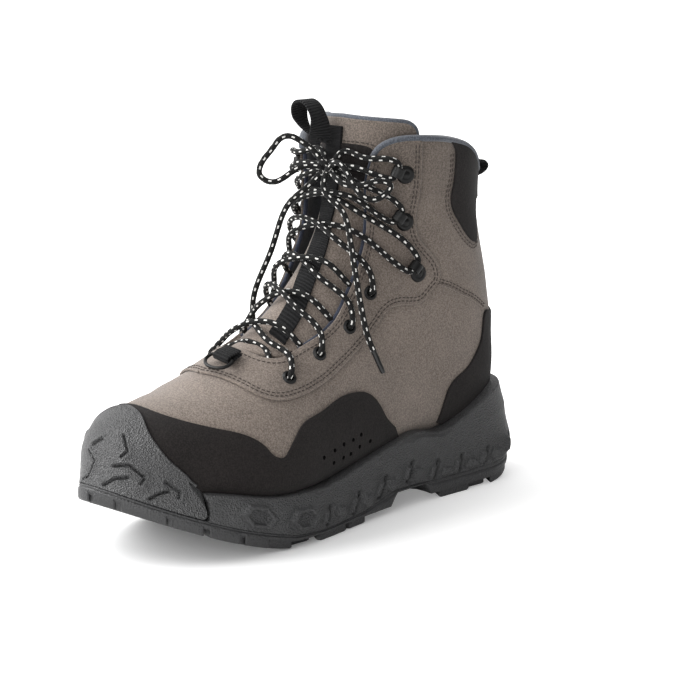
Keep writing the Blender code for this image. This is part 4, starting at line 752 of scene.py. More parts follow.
def addTube(name, slot, path, radius, finish, sides=12, closed=False, stands=None):
    # A round tube along a path; its plan is (metres along, share of the way round)
    path = np.asarray(path, float)
    count = len(path)
    ways = unit(np.roll(path, -1, axis=0) - np.roll(path, 1, axis=0) if closed else np.gradient(path, axis=0))
    side = Vector(ways[0]).orthogonal().normalized()
    frames = []
    for way in map(Vector, ways):
        side = (side - way * side.dot(way)).normalized()
        frames.append((side, way.cross(side)))
    twist = 0.0
    if closed:
        first = Vector(ways[0])
        end = (side - first * side.dot(first)).normalized()
        twist = math.atan2(end.dot(frames[0][1]), end.dot(frames[0][0]))
    radii = np.broadcast_to(np.asarray(radius, float), (count,))
    points, plan = [], []
    for k, (distance, (u, v)) in enumerate(zip(runOf(path), frames)):
        for n in range(sides):
            angle = 2 * math.pi * n / sides - twist * k / count
            points.append(Vector(path[k]) + (u * math.cos(angle) + v * math.sin(angle)) * radii[k])
            plan.append((distance, abs(2 * n / sides - 1)))
    return addPiece(name, slot, points, ringFaces(count, sides, closed), finish, uv=plan, stands=stands)


# Free lace: two bow loops and two ends from the knot, as in the frame
lace = {
    "width": 0.0034, "knot": (0.0040, -0.0921, 0.1965), "knotSize": (0.0052, 0.0040, 0.0050), "aglet": 0.014,
    "medialLoop": [(-.0030, -.0965, .2060), (-.0080, -.1008, .2108), (-.0125, -.1049, .2136),
                   (-.0152, -.1077, .2131), (-.0186, -.1131, .2065), (-.0217, -.1187, .1982), (-.0215, -.1201, .1927),
                   (-.0159, -.1158, .1883), (-.0111, -.1102, .1911), (-.0060, -.1022, .1965)],
    "lateralLoop": [(.0150, -.0940, .2000), (.0230, -.0915, .1900), (.0285, -.0890, .1825), (.0325, -.0845, .1800),
                    (.0368, -.0790, .1828), (.0390, -.0768, .1880), (.0362, -.0802, .1905), (.0290, -.0870, .1885),
                    (.0190, -.0935, .1885)],
    "medialEnd": [(-.0050, -.0995, .1848), (-.0165, -.1020, .1750), (-.0270, -.1060, .1480),
                  (-.0370, -.1110, .1200), (-.0430, -.1060, .1000)],
    "lateralEnd": [(.0070, -.0975, .1850), (.0190, -.0955, .1740), (.0250, -.0950, .1600), (.0300, -.0955, .1400),
                   (.0360, -.0965, .1200), (.0420, -.0960, .1020), (.0434, -.0946, .0972)],
}
laceRadius = lace["width"] / 2


def knotExit(towards):
    way = (Vector(towards) - Vector(lace["knot"])).normalized()
    depth = 1 / math.sqrt(sum((w / size) ** 2 for w, size in zip(way, lace["knotSize"])))
    return Vector(lace["knot"]) + way * (depth * 0.75)


for side in ("medial", "lateral"):
    points = lace[side + "Loop"]
    path = spacedPath([knotExit(points[0])] + points + [knotExit(points[-1])], 0.0010)
    loop = addTube("laceLoop." + side, "lace", path, laceRadius, laceCord, stands="lace_loop_" + side)
    points = lace[side + "End"]
    path = spacedPath([knotExit(points[0])] + points, 0.0010)
    way = Vector(path[-1] - path[-2]).normalized()
    tipPath = [Vector(path[-1]) + way * (lace["aglet"] * k / 8) for k in range(-1, 9)]
    tipRadii = [laceRadius * s for s in (.96, .98, .95, .92, .9, .9, .9, .88, .86, .7)]
    tip = addTube("laceTip." + side, "lace_tip", tipPath, tipRadii, tipPlastic, stands="aglet_" + side)
    end = addTube("laceEnd." + side, "lace", path, laceRadius, laceCord, stands="lace_end_" + side)

# The knot: a strand wound over and under itself
turnsOfKnot = np.linspace(0, 2 * math.pi, 160, endpoint=False)
wound = np.stack([np.sin(turnsOfKnot) + 2 * np.sin(2 * turnsOfKnot), -np.sin(3 * turnsOfKnot) * 1.5,
                  np.cos(turnsOfKnot) - 2 * np.cos(2 * turnsOfKnot)], axis=1)
wound = wound * np.array([0.0017, 0.0016, 0.0014]) + np.array(lace["knot"])
addTube("laceKnot", "lace", wound, laceRadius * 0.95, laceCord, closed=True, stands="lace_knot")
print("free lace made")


# Upper: one shell, taupe outside and dark lining inside, padded round the collar
padding = {"collar": 0.0040, "rise": (12.8, 15.2), "around": (66, 84)}


def innerSide(turns, stations):
    turnSize = np.abs((turns + 180) % 360 - 180)
    puff = smoothStep(stations, *padding["rise"]) * smoothStep(turnSize, *padding["around"])
    return -boot["wall"] - padding["collar"] * puff


throat = smoothLine(cutLines["throat"])
collar = smoothLine(cutLines["collar"])
lateralEdge = joinLines(throat, collar, smoothLine(cutLines["bottom"])[::-1], toPlan([(180, 0)]))
upperLoop = joinLines(mirrored(lateralEdge), lateralEdge)
upper = panel("upperShell", "upper_fabric", upperLoop, innerSide, 0.0, taupe, lining, stands="upper", spacing=0.17,
              bevel=0)
print("upper made")

overTop = boot["overlay"] + boot["gap"]


def outlineLoop(count):
    points = np.array([(share * boot[width], along * boot["length"]) for width, share, along in soleOutline])
    tail = 4
    wrapped = np.vstack([points[-tail:], points, points[:tail + 1]])
    fine = naturalCurve(np.arange(-tail, len(points) + tail + 1), wrapped)(np.linspace(0, len(points), 3000))
    run = runOf(fine)
    return atRuns(fine, run, np.linspace(0, run[-1], count, endpoint=False))


def alongOf(points):
    return boot["heelToOrigin"] - points[:, 1]


def turnAbove(station, height, lift):
    turns = np.linspace(88, 180, 186)
    points = onSkin(turns, np.full(len(turns), station), lift, False)
    over = points[:, 2] - height(alongOf(points))
    below = np.nonzero(over < 0)[0]
    if len(below) == 0:
        return 180.0
    k = max(below[0], 1)
    return float(turns[k - 1] + (turns[k] - turns[k - 1]) * over[k - 1] / (over[k - 1] - over[k]))


def lowEdge(start, height, lift, search, sign, steps):
    # Where the skin meets a height, from a station to the line at the middle of the sole or the back
    points = onSkin(np.full(len(search), 180.0), search, lift, False)
    end = float(search[np.nonzero((points[:, 2] - height(alongOf(points))) * sign > 0)[0][0]])
    stations = end + (start - end) * np.linspace(1, 0, steps) ** 2
    return [turnAbove(station, height, lift) for station in stations[:-1]] + [180], stations


def rimLine(start, end):
    # The overlays' lower edge runs just below the midsole's rim, hidden behind it
    def rest(along):
        return rim(along) - 0.0012

    if end is None:
        turns, stations = lowEdge(start, rest, overTop, np.linspace(9.5, 12.4, 120), 1, 160)
    else:
        stations = np.linspace(start, end, 120)
        turns = [turnAbove(station, rest, overTop) for station in stations]
    plan = toPlan(list(zip(turns, stations)))
    run = runOf(plan)
    return atRuns(plan, run, np.linspace(0, run[-1], int(run[-1] / 0.1) + 2))


# Overlays, cut between the upper and their own outlines
overlay = {"low": 0.0001, "top": overTop}


def addOverlay(name, loop, finish, stands, spacing=0.22):
    panel(name, "overlay", loop, overlay["low"], overlay["top"], finish, stands=stands, spacing=spacing)


randTop = smoothLine(cutLines["randTop"])
capEdge = cutLines["capEdge"]
randLow = rimLine(capEdge[-1][1] + 0.05, cutLines["randTop"][-1][1] + 0.05)
randFront = smoothLine([(turn, station - 0.12) for turn, station in capEdge])
randFront = between(randFront, -1, randLow[0, 0] * planTurn - 1)
half = joinLines(randFront, randLow, randTop[::-1])
addOverlay("toeRand", joinLines(half, mirrored(half)), suede, "toe_rand")
stayEdge = smoothLine(cutLines["eyestay"])
half = joinLines(stayEdge, between(collar, 33, 61)[::-1], throat[::-1])
addOverlay("lacingStay", joinLines(half, mirrored(half)), taupeStay, "eyestay", 0.18)
stayFold = between(stayEdge[fromPlan(stayEdge)[1] < 15.7], 0, 200)
for label, line in (("lateral", stayFold), ("medial", mirrored(stayFold))):
    addTube("stayFold." + label, "overlay", skinPath(line, overlay["top"] * 0.72), 0.00075, taupeStay, sides=8)
half = joinLines(smoothLine(cutLines["counter"]), rimLine(cutLines["counter"][-1][1] + 0.12, None))
addOverlay("heelCounter", joinLines(half, aroundBack(half)), suede, "heel_counter")
cuffEdge = smoothLine(cutLines["cuff"])
half = joinLines(between(collar, 84.5, 181)[::-1], cuffEdge)
addOverlay("collarPanel", joinLines(half, aroundBack(half)), suede, "collar_panel")
insoleLoop = smoothLine(cutLines["insole"])
insoleTop = -boot["wall"] - boot["gap"]
panel("footbed", "lining", joinLines(insoleLoop, aroundBack(insoleLoop)), insoleTop - 0.004, insoleTop, lining,
      stands="insole", spacing=0.3, open_=False, bevel=0.001)
print("overlays made")

# Tongue: padded, taupe in front and grey knit behind, a little crowned between its edges
tongueSizes = {"thick": 0.006, "crown": 0.0008, "wave": 0.0003, "piping": 0.0019}
tongueLine = smoothLine(cutLines["tongue"])


def tongueFront(turns, stations):
    edge = smoothStep(np.abs(turns), 62, 40) * smoothStep(stations, 16.35, 15.5)
    upper = smoothStep(stations, 12, 14) * (1 - smoothStep(stations, 16.5, 17))
    wave = tongueSizes["wave"] * np.sin(stations * 3.1 + 0.6) * upper
    return insoleTop - tongueSizes["crown"] * (1 - edge) + wave


tongueLoop = joinLines(tongueLine, mirrored(tongueLine))
tongue = panel("tonguePad", "tongue_fabric", tongueLoop, insoleTop - tongueSizes["thick"], tongueFront, taupe, knit,
               stands="tongue", open_=False, bevel=0.0014)
patch = smoothLine(cutLines["patch"], closed=True)
panel("tonguePatch", "overlay", patch, insoleTop - 0.0004, insoleTop + 0.0008, suede, open_=False)
tongueTop = tongueLine[fromPlan(tongueLine)[1] > 13.4]
tongueTop = joinLines(tongueTop, mirrored(tongueTop))
tongueTop = skinPath(tongueTop, insoleTop - tongueSizes["thick"] * 0.5, False)
addTube("tonguePiping", "tongue_fabric", tongueTop, tongueSizes["piping"], knit, sides=10)

# Collar binding: an oval roll over the padded edge, thinner at its two ends
roll = {"rise": 0.0019, "over": 0.0007, "sides": 12, "tip": 0.55}
rollTurns, rollStations = fromPlan(joinLines(collar, aroundBack(collar)))
inner = innerSide(rollTurns, rollStations)
rollCentre = onSkin(rollTurns, rollStations, (inner + overlay["top"]) / 2)
across = lastNormals(rollTurns, rollStations)
upward = np.cross(unit(np.gradient(rollCentre, axis=0)), across)
upward *= np.sign(upward[:, 2:3] + 1e-9)
ends = np.minimum(np.arange(len(rollCentre)), np.arange(len(rollCentre))[::-1])
halfThick = (overlay["top"] - inner) / 2 + roll["over"]
halfThick = halfThick * (roll["tip"] + (1 - roll["tip"]) * np.clip(ends / 4, 0, 1))
rollPoints, rollPlan = [], []
for k, distance in enumerate(runOf(rollCentre)):
    for n in range(roll["sides"]):
        angle = 2 * math.pi * n / roll["sides"]
        rollPoints.append(rollCentre[k] + across[k] * halfThick[k] * math.cos(angle)
                          + upward[k] * roll["rise"] * math.sin(angle))
        rollPlan.append((distance, n / roll["sides"]))
addPiece("collarBinding", "lining", rollPoints, ringFaces(len(rollCentre), roll["sides"]), knit, uv=rollPlan)

# The narrow binding down the throat's edges
bothSides = ((1, "lateral"), (-1, "medial"))
for side, label in bothSides:
    edge = throat[fromPlan(throat)[1] > 7.2] * np.array([side, 1.0])
    addTube("throatBinding." + label, "lining", skinPath(edge, -boot["wall"] * 0.55), 0.00135, piping, sides=10)
print("tongue and bindings made")


# Webbing: the strip down the tongue, the pull loops and the ring's tab
web = {"thick": 0.0014, "strip": 0.013, "loop": 0.012, "loopHeight": 0.0235, "loopWidth": 0.019,
       "heelHeight": 0.022, "heelReach": 0.016}
seat = boot["gap"] * 3 + boot["overlay"]
stripLine = smoothLine(cutLines["strip"])
stripTurns, stripStations = fromPlan(stripLine)
sideways = onSkin(stripTurns + 1, stripStations, 0, False) - onSkin(stripTurns - 1, stripStations, 0, False)
halfTurn = web["strip"] / 2 / (np.linalg.norm(sideways, axis=1) / 2) / planTurn
stripLoop = np.vstack([np.column_stack([stripLine[:, 0] - halfTurn, stripLine[:, 1]]),
                       np.column_stack([stripLine[:, 0] + halfTurn, stripLine[:, 1]])[::-1]])
panel("tongueStrip", "webbing", stripLoop, insoleTop - 0.0002, -boot["wall"] + web["thick"], webbing,
      stands="tongue_strip", spacing=0.15, open_=False, bevel=0.0003)


def ribbon(name, slot, line, widths, width, thickness, finish, stands):
    # A flat tape with rounded edges along a line; widths are the directions across it
    corner = [(-.5, .25), (-.46, .5), (-.2, .5), (.2, .5), (.46, .5), (.5, .25)]
    section = corner + [(-a, -b) for a, b in corner]
    points, plan = [], []
    run = 0.0
    for k, here in enumerate(line):
        way = (line[min(k + 1, len(line) - 1)] - line[max(k - 1, 0)]).normalized()
        side = (widths[k] - way * widths[k].dot(way)).normalized()
        out = way.cross(side)
        if k:
            run += (here - line[k - 1]).length
        points += [here + side * (a * width) + out * (b * thickness) for a, b in section]
        plan += [(a * width, run) for a, b in section]
    return addPiece(name, slot, points, ringFaces(len(line), len(section)), finish, uv=plan, stands=stands)


# The tongue's loop turns its flat side to the front as it rises, and leans to the medial side
pull = {"foot": (-4, 15.05), "points": 60, "roundness": 0.6, "apart": 1.2, "aside": 0.32, "ahead": 0.0095,
        "fullness": 0.7, "turning": 1.25}
foot = spot(*pull["foot"], -boot["wall"] + web["thick"] * 2 + 7 * boot["gap"], False)
line, widths = [], []
for k in range(pull["points"]):
    share = k / (pull["points"] - 1)
    angle = math.radians(-90 + 360 * share)
    swell = math.sin(math.pi * share)
    x = -web["loopWidth"] / 2 * math.cos(angle) * swell ** pull["roundness"]
    z = web["loopHeight"] / 2 * (1 + math.sin(angle))
    back = (web["thick"] + boot["gap"]) * pull["apart"] * share
    line.append(foot + Vector((x - web["loopWidth"] * pull["aside"] * swell,
                               -back - pull["ahead"] * swell ** pull["fullness"], z)))
    twist = min(1, swell * pull["turning"]) * math.pi / 2
    way = 1 if share < 0.5 else -1
    widths.append(Vector((math.cos(twist), -math.sin(twist) * way, 0)) * way)
for k in range(1, len(widths)):
    if widths[k].dot(widths[k - 1]) < 0:
        widths[k] = -widths[k]
ribbon("tonguePullLoop", "webbing", line, widths, web["loop"], web["thick"], loopWebbing, "tongue_pull_loop")
# The heel's loop from its root inside the seam, as shares of its height and its reach
heelPull = [(-.75, -.05), (-.4, -.02), (-.12, .02), (.03, .45), (.14, .9), (.24, 1.0), (.34, .9), (.40, .45),
            (.42, .05)]
base = spot(180, 15.25, seat + web["thick"] / 2, True)
line = np.array([base + Vector((0, web["heelReach"] * out, web["heelHeight"] * up)) for up, out in heelPull])
run = runOf(line)
line = [Vector(p) for p in naturalCurve(run, line)(np.linspace(0, run[-1], 48))]
ribbon("heelPullLoop", "webbing", line, [Vector((1, 0, 0))] * len(line), web["strip"], web["thick"], loopWebbing,
       "heel_pull_loop")
print("webbing made")


# Hardware
def localFrame(turn, station, lift, open_=True):
    # X towards the tongue, Y up the boot, Z out of the skin
    def at(moreTurn, moreStation):
        return spot(turn + moreTurn, station + moreStation, lift, open_)

    side = 1 if turn >= 0 else -1
    across = (at(-2 * side, 0) - at(2 * side, 0)).normalized()
    rise = at(0, 0.15) - at(0, -0.15)
    out = (across.cross(rise) * -side).normalized()
    rise = out.cross(across) * -side
    matrix = Matrix((across, rise.normalized(), out)).transposed().to_4x4()
    matrix.translation = at(0, 0)
    return matrix


def circlePoint(radius, degrees):
    return radius * math.cos(math.radians(degrees)), radius * math.sin(math.radians(degrees))


def addTurned(name, profile, sides, matrix, finish, closed=True, stands=None):
    # A body of revolution about a frame's Z from (radius, height) points
    points = [matrix @ Vector((*circlePoint(r, 360 * k / sides), z)) for r, z in profile for k in range(sides)]
    addPiece(name, "hardware", points, ringFaces(len(profile), sides, closed), finish, stands=stands)


metal = {"eyelet": 0.0084, "bore": 0.0044, "flange": 0.0010, "hookBase": 0.0105, "hookWidth": 0.0060,
         "hookReach": 0.0095, "hookCurl": 0.0026, "hookMetal": 0.0012, "ringWidth": 0.019, "ringLength": 0.012,
         "ringWire": 0.0020}
edge, bore, flange = metal["eyelet"] / 2, metal["bore"] / 2, metal["flange"]
eyeletShape = [(bore, -0.0022), (bore, flange * 0.55), (bore + 0.0003, flange * 0.9), (bore + 0.0008, flange),
               (edge - 0.0010, flange * 0.8), (edge - 0.0003, flange * 0.45), (edge, 0.0),
               (edge - 0.0002, -0.0004), (bore + 0.0006, -0.0004), (bore + 0.0004, -0.0022)]
holeShape = [(0.0002, -0.0020), (bore + 0.0003, -0.0020), (bore + 0.0003, 0.00005), (bore + 0.0001, 0.0001),
             (0.0002, 0.0001)]
seatLift = overlay["top"] + 0.0001
for number, (turn, station) in enumerate(eyeletPlaces, 1):
    for side, label in bothSides:
        matrix = localFrame(turn * side, station, seatLift)
        addTurned(f"eyelet.{label}.{number}", eyeletShape, 40, matrix, blackMetal,
                  stands=f"eyelet_{label}_{number}")
        # A dark disc in each eyelet's bore: painted shade for the hole
        addTurned(f"eyeletHoleShade.{label}.{number}", holeShape, 24, matrix, dark, closed=False)

hookRadius = metal["hookCurl"] + metal["hookMetal"] / 2
hookCentre = (metal["hookReach"] - hookRadius, hookRadius + metal["hookMetal"] / 2)
hookLine = [(-metal["hookBase"] * 0.3, metal["hookMetal"] / 2), (hookCentre[0] * 0.5, metal["hookMetal"] / 2)]
hookLine += [tuple(np.add(hookCentre, circlePoint(hookRadius, angle))) for angle in range(-90, 136, 15)]
discEdge = metal["hookBase"] / 2
discShape = [(0.0003, -0.0003), (discEdge - 0.0003, -0.0003), (discEdge, 0.0001), (discEdge - 0.0002, 0.0008),
             (discEdge - 0.0012, 0.0013), (discEdge - 0.0020, 0.0014), (0.0024, 0.0012), (0.0016, 0.0018),
             (0.0003, 0.0020)]
for number, (turn, station) in enumerate(hookPlaces, 1):
    for side, label in bothSides:
        matrix = localFrame(turn * side, station, seatLift)
        addTurned(f"hookBase.{label}.{number}", discShape, 40, matrix, blackMetal, closed=False)
        line = [matrix @ Vector((x, 0, z)) for x, z in hookLine]
        ribbon(f"hook.{label}.{number}", "hardware", line, [matrix.col[1].to_3d()] * len(line), metal["hookWidth"],
               metal["hookMetal"], blackMetal, f"hook_{label}_{number}")

ringFrame = localFrame(*ringPlace, seat + metal["ringWire"] * 1.7, False)
acrossRing, aheadRing, outRing = ringFrame.col[0].to_3d(), -ringFrame.col[1].to_3d(), ringFrame.col[2].to_3d()
half, deep, corner = (metal["ringWidth"] - metal["ringWire"]) / 2, metal["ringLength"] - metal["ringWire"], 0.0022
ringLine = []
for angle in range(0, 181, 12):
    x, y = circlePoint(1, angle)
    ringLine.append((half * x, deep * (0.35 + 0.65 * y)))
for centreX, start in ((-half + corner, 180), (half - corner, 270)):
    ringLine += [tuple(np.add((centreX, corner), circlePoint(corner, start + angle)))
                 for angle in range(10, 91, 16)]
addTube("dRing", "hardware", [ringFrame.translation + acrossRing * x + aheadRing * y for x, y in ringLine],
        metal["ringWire"] / 2, blackMetal, sides=14, closed=True, stands="d_ring")
bend = metal["ringWire"] / 2 + 0.0001 + web["thick"] / 2
tabLine = [(-0.0085, -bend * 0.9), (-0.002, -bend), *(circlePoint(bend, angle) for angle in range(-90, 91, 20)),
           (-0.002, bend), (-0.0085, bend * 0.35)]
line = [ringFrame.translation + aheadRing * x + outRing * y for x, y in tabLine]
ribbon("ringTab", "webbing", line, [acrossRing] * len(line), web["loop"], web["thick"], loopWebbing, "ring_tab")
print("hardware made")


# The lace's crossings: up through each eyelet from inside, over to the other side, round the hooks
laceLift = laceRadius + web["thick"] - boot["wall"] + 0.0004
crossing = {"bow": 0.0034, "climb": 0.0002, "share": 0.42, "arch": 0.0012, "clear": 0.0016, "clearFrom": 3,
            "second": 0.0026}


def bridge(turn, station, lift):
    near = min(turn, -40.0) if turn < 0 else turn
    opening = float(gape(np.array([near]), np.array([station]))[0])
    share = float(smoothStep(-turn / 28, 0, 1))
    return spot(turn, station, lift + opening * share, False)


def lacePass(number, side):
    # Points of the lace at one eyelet or hook, from where it arrives to where it leaves
    if number < len(eyeletPlaces):
        turn, station = eyeletPlaces[number]
        matrix = localFrame(turn * side, station, seatLift)
        inside = [(0.0070, -0.0040, -0.0046), (0.0030, -0.0022, -0.0052), (0.0, -0.0006, -0.0030)]
        outside = [(0.0, 0.0, 0.0006), (0.0010, 0.0008, 0.0028), (0.0040, 0.0032, 0.0034),
                   (0.0085, 0.0062, 0.0030)]
        return turn, station, [matrix @ Vector(p) for p in inside + outside]
    turn, station = hookPlaces[number - len(eyeletPlaces)]
    matrix = localFrame(turn * side, station, seatLift)
    reach = metal["hookWidth"] / 2 + laceRadius + 0.0004
    path = []
    for angle in range(-90, 91, 30):
        x, y = circlePoint(1, angle)
        path.append(matrix @ Vector((hookCentre[0] + crossing["bow"] * (1 - x), reach * y,
                                     hookCentre[1] + crossing["climb"] * angle / 90)))
    return turn, station, path


def laceHalf(firstSide, over):
    count = len(eyeletPlaces) + len(hookPlaces)
    side = firstSide
    bar = eyeletPlaces[0][1] + 0.12
    points = [bridge(0, bar, -0.0022), bridge(20 * side, bar, -0.0028)]
    for number in range(count):
        turn, station, path = lacePass(number, side)
        points += path
        if number == count - 1:
            points.append(bridge(26 * side, station + 0.16, laceLift + 0.0015))
            points.append(bridge(10 * side, station + 0.24, laceLift))
            points.append(Vector(lace["knot"]) + Vector((0.002 * side, 0.001, 0)))
            break
        nextTurn, nextStation, _ = lacePass(number + 1, -side)
        middle = (station + nextStation) / 2
        clear = crossing["clear"] if number >= crossing["clearFrom"] else 0.0
        for share in (-crossing["share"], 0, crossing["share"]):
            swing = nextTurn if share > 0 else turn
            arch = crossing["arch"] * (crossing["share"] - abs(share))
            lift = laceLift + over + arch + clear * abs(share) * 2
            points.append(bridge(-side * swing * share, middle + (nextStation - station) * share * 0.5, lift))
        side = -side
    return spacedPath(points, 0.0012)


addTube("laceCrossings.first", "lace", laceHalf(1, 0), laceRadius, laceCord, stands="lace_crossings")
addTube("laceCrossings.second", "lace", laceHalf(-1, crossing["second"]), laceRadius, laceCord)
print("lace crossings made")


# Toe cap: a rubber shell whose skirt flares to the sole. Its strokes are (x, distance from the back of
# the heel, height) in millimetres; each is drawn on the nearest skin
capRelief = [
    [(-12.9, 295.3, 61.2), (-7.7, 293.3, 65.0)],
    [(-15.8, 296.3, 57.4), (-8.7, 297.7, 53.1), (-9.3, 297.4, 43.5), (-12.7, 296.7, 40.7)],
    [(4.7, 288.4, 68.4), (10.4, 290.5, 60.7), (7.8, 293.1, 57.5)],
    [(5.1, 295.3, 52.3), (12.5, 291.6, 53.6), (19.9, 286.4, 47.1), (18.3, 287.8, 43.7)],
    [(1.1, 295.7, 40.3), (6.6, 295.0, 45.5), (12.8, 292.1, 46.7)],
    [(19.4, 283.0, 34.3), (24.5, 280.4, 38.0), (27.6, 277.4, 39.2)],
    [(27.1, 278.8, 44.6), (31.4, 272.5, 39.0), (30.0, 272.4, 35.3)],
    [(-30, 285, 64), (-36, 280, 56), (-34, 282, 50)], [(-26, 291, 44), (-33, 286, 46), (-39, 278, 40)],
    [(-42, 268, 52), (-45, 262, 44), (-43, 266, 38)],
]
fineOutline = outlineLoop(1800)
outlineTree = flatTree(fineOutline)


def nearestOutline(points):
    return np.array([outlineTree.find((p[0], boot["heelToOrigin"] - p[1], 0))[1] for p in points])


def capSeat(along):
    return seam(along) + sole["capSeat"]


def toeCap():
    # Plan, triangles, inner skin and flared outer skin of the cap
    turns, stations = lowEdge(capEdge[-1][1], capSeat, 0, np.linspace(0.02, 2, 160), -1, 240)
    turns = np.where(stations > 1.1, np.minimum(turns, sole["capUnder"]), turns)
    run = runOf(fineOutline[nearestOutline(onSkin(turns, stations, 0, False))])
    even = np.linspace(0, run[-1], int(run[-1] / 0.0012) + 1)
    lowerEdge = toPlan(atRuns(np.column_stack([turns, stations]), run, even))
    half = joinLines(smoothLine(capEdge, 0.08), lowerEdge)
    knots, faces = fillPlan(joinLines(mirrored(half), half, toPlan([(180, 0), (-180, 0)])), 0.052)
    inner, outer, flat = (skinPath(knots, lift, False) for lift in (boot["gap"], sole["capWall"], 0))
    lowSkin = skinPath(lowerEdge, 0, False)
    lowStations = fromPlan(lowerEdge)[1]
    order = np.argsort(lowStations)
    base = np.interp(fromPlan(knots)[1], lowStations[order], (lowSkin[:, 2] - capSeat(alongOf(lowSkin)))[order])
    above = flat[:, 2] - capSeat(alongOf(flat)) - base
    drop = np.clip(above / (sole["capSkirt"] - sole["capSeat"]), 0, 1)
    feet = fineOutline[nearestOutline(flat)]
    foot = np.column_stack([feet[:, 0], boot["heelToOrigin"] - feet[:, 1], seam(feet[:, 1]) + 2 * boot["gap"]])
    flare, fall = (1 - drop ** 2) ** 1.5, (1 - drop) ** 1.2
    share = np.column_stack([flare, flare, fall])
    return knots, faces, inner, outer * (1 - share) + foot * share


def reliefDepth(points, lines, width, depth, shoulder):
    # Moulded strokes: a groove with a raised shoulder on its far side
    near = np.full(len(points), 1.0)
    signed = np.zeros(len(points))
    for line in lines:
        for start, end in zip(line[:-1], line[1:]):
            way = end - start
            size = np.linalg.norm(way)
            if size < 1e-6:
                continue
            share = np.clip(((points - start) @ way) / size ** 2, 0, 1)
            gapTo = np.linalg.norm(points - (start + share[:, None] * way), axis=1)
            closer = gapTo < near
            near = np.where(closer, gapTo, near)
            side = np.cross(np.array([0, 0, 1.0]), way / size)
            signed = np.where(closer, (points - start) @ side, signed)
    groove = -depth * np.exp(-(near / width) ** 2)
    ridge = shoulder * np.exp(-((near - width * 2.6) / (width * 2.2)) ** 2) * smoothStep(signed, -0.0002, 0.0006)
    return groove + ridge


knots, faces, capInner, capOuter = toeCap()
capTree = BVHTree.FromPolygons([tuple(p) for p in capOuter], faces)
strokes = []
for stroke in capRelief:
    corners = np.array([(x, 45 - along, z) for x, along, z in stroke]) / 1000
    dense = np.concatenate([np.linspace(p, q, 9)[:-1] for p, q in zip(corners[:-1], corners[1:])] + [corners[-1:]])
    strokes.append(np.array([tuple(capTree.find_nearest(Vector(p))[0]) for p in dense]))
normals = np.zeros_like(capOuter)
for face in faces:
    a, b, c = (capOuter[k] for k in face)
    normals[list(face)] += np.cross(b - a, c - a)
normals /= np.linalg.norm(normals, axis=1)[:, None] + 1e-12
middle = capOuter.mean(axis=0) - np.array([0, -0.03, 0.01])
if np.sum(normals * (capOuter - middle)) < 0:
    normals = -normals
same, faces = welded(capOuter, faces, 6)
engraving = {"width": 0.00062, "depth": 0.0017, "shoulder": 0.0006}
capOuter = (capOuter + normals * reliefDepth(capOuter, strokes, **engraving)[:, None])[same]
cap = addPiece("toeCap", "toe_rubber", np.vstack([capOuter, capInner[same]]), twoSheets(faces, len(capOuter)),
               capRubber, stands="toe_cap", uv=np.vstack([knots, knots]))
bevelled(cap, 0.0008, 3)
rimTop = between(smoothLine(capEdge), -1, 97)
rimTop = skinPath(joinLines(mirrored(rimTop), rimTop), sole["capWall"] * 0.8, False)
addTube("capRim", "toe_rubber", rimTop, 0.0010, capRubber, sides=8)
print("toe cap made")

# Sole: even points round its outline, with the way out and the side of each
ringCount = 1240
loop = outlineLoop(ringCount)
direction = np.roll(loop, -1, axis=0) - np.roll(loop, 1, axis=0)
loopOut = unit(np.stack([direction[:, 1], -direction[:, 0]], axis=1))
loopAlong = loop[:, 1]
loopSide = np.where(loop[:, 0] > np.interp(loopAlong, [0, .2, .304], [0, 0, -.012]), 1.0, -1.0)


def ring(inset, height):
    flat = loop - loopOut * np.broadcast_to(inset, (ringCount,))[:, None]
    return np.column_stack([flat[:, 0], boot["heelToOrigin"] - flat[:, 1], height])


# Relief on the midsole's side, as (along, height above the tread) in metres
wallRelief = {
    "hexagons": [(.2365, .0168, .0066), (.2055, .0155, .0062)],
    "slits": [(.184, .0085, .0165, .0040), (.158, .0085, .0180, .0070), (.133, .0120, .0215, .0070),
              (.1075, .0160, .0255, .0040), (.0850, .0110, .0215, .0050), (.0640, .0115, .0215, .0045),
              (.0413, .0120, .0225, .0030), (.0193, .0170, .0270, .0020)],
    "bumps": [(.149, .0126, .0042), (.1264, .0173, .0042), (.1018, .0181, .0044), (.0764, .0139, .0044),
              (.054, .0147, .0044), (.0322, .0172, .0044), (.174, .0120, .0040)],
    "swelling": (.094, .0385, .020, .0060, .0022),
}


def hexDistance(u, v):
    u, v = np.abs(u), np.abs(v)
    return np.maximum(v, u * 0.866 + v * 0.5)


wallDepth = {"hexagon": 0.0024, "sunk": 0.0021, "slit": 0.0032, "slitHalf": 0.0014, "lip": 0.0018, "bump": 0.0015,
             "heel": 0.0036, "scallop": 0.0006, "scallopPitch": 0.0245}


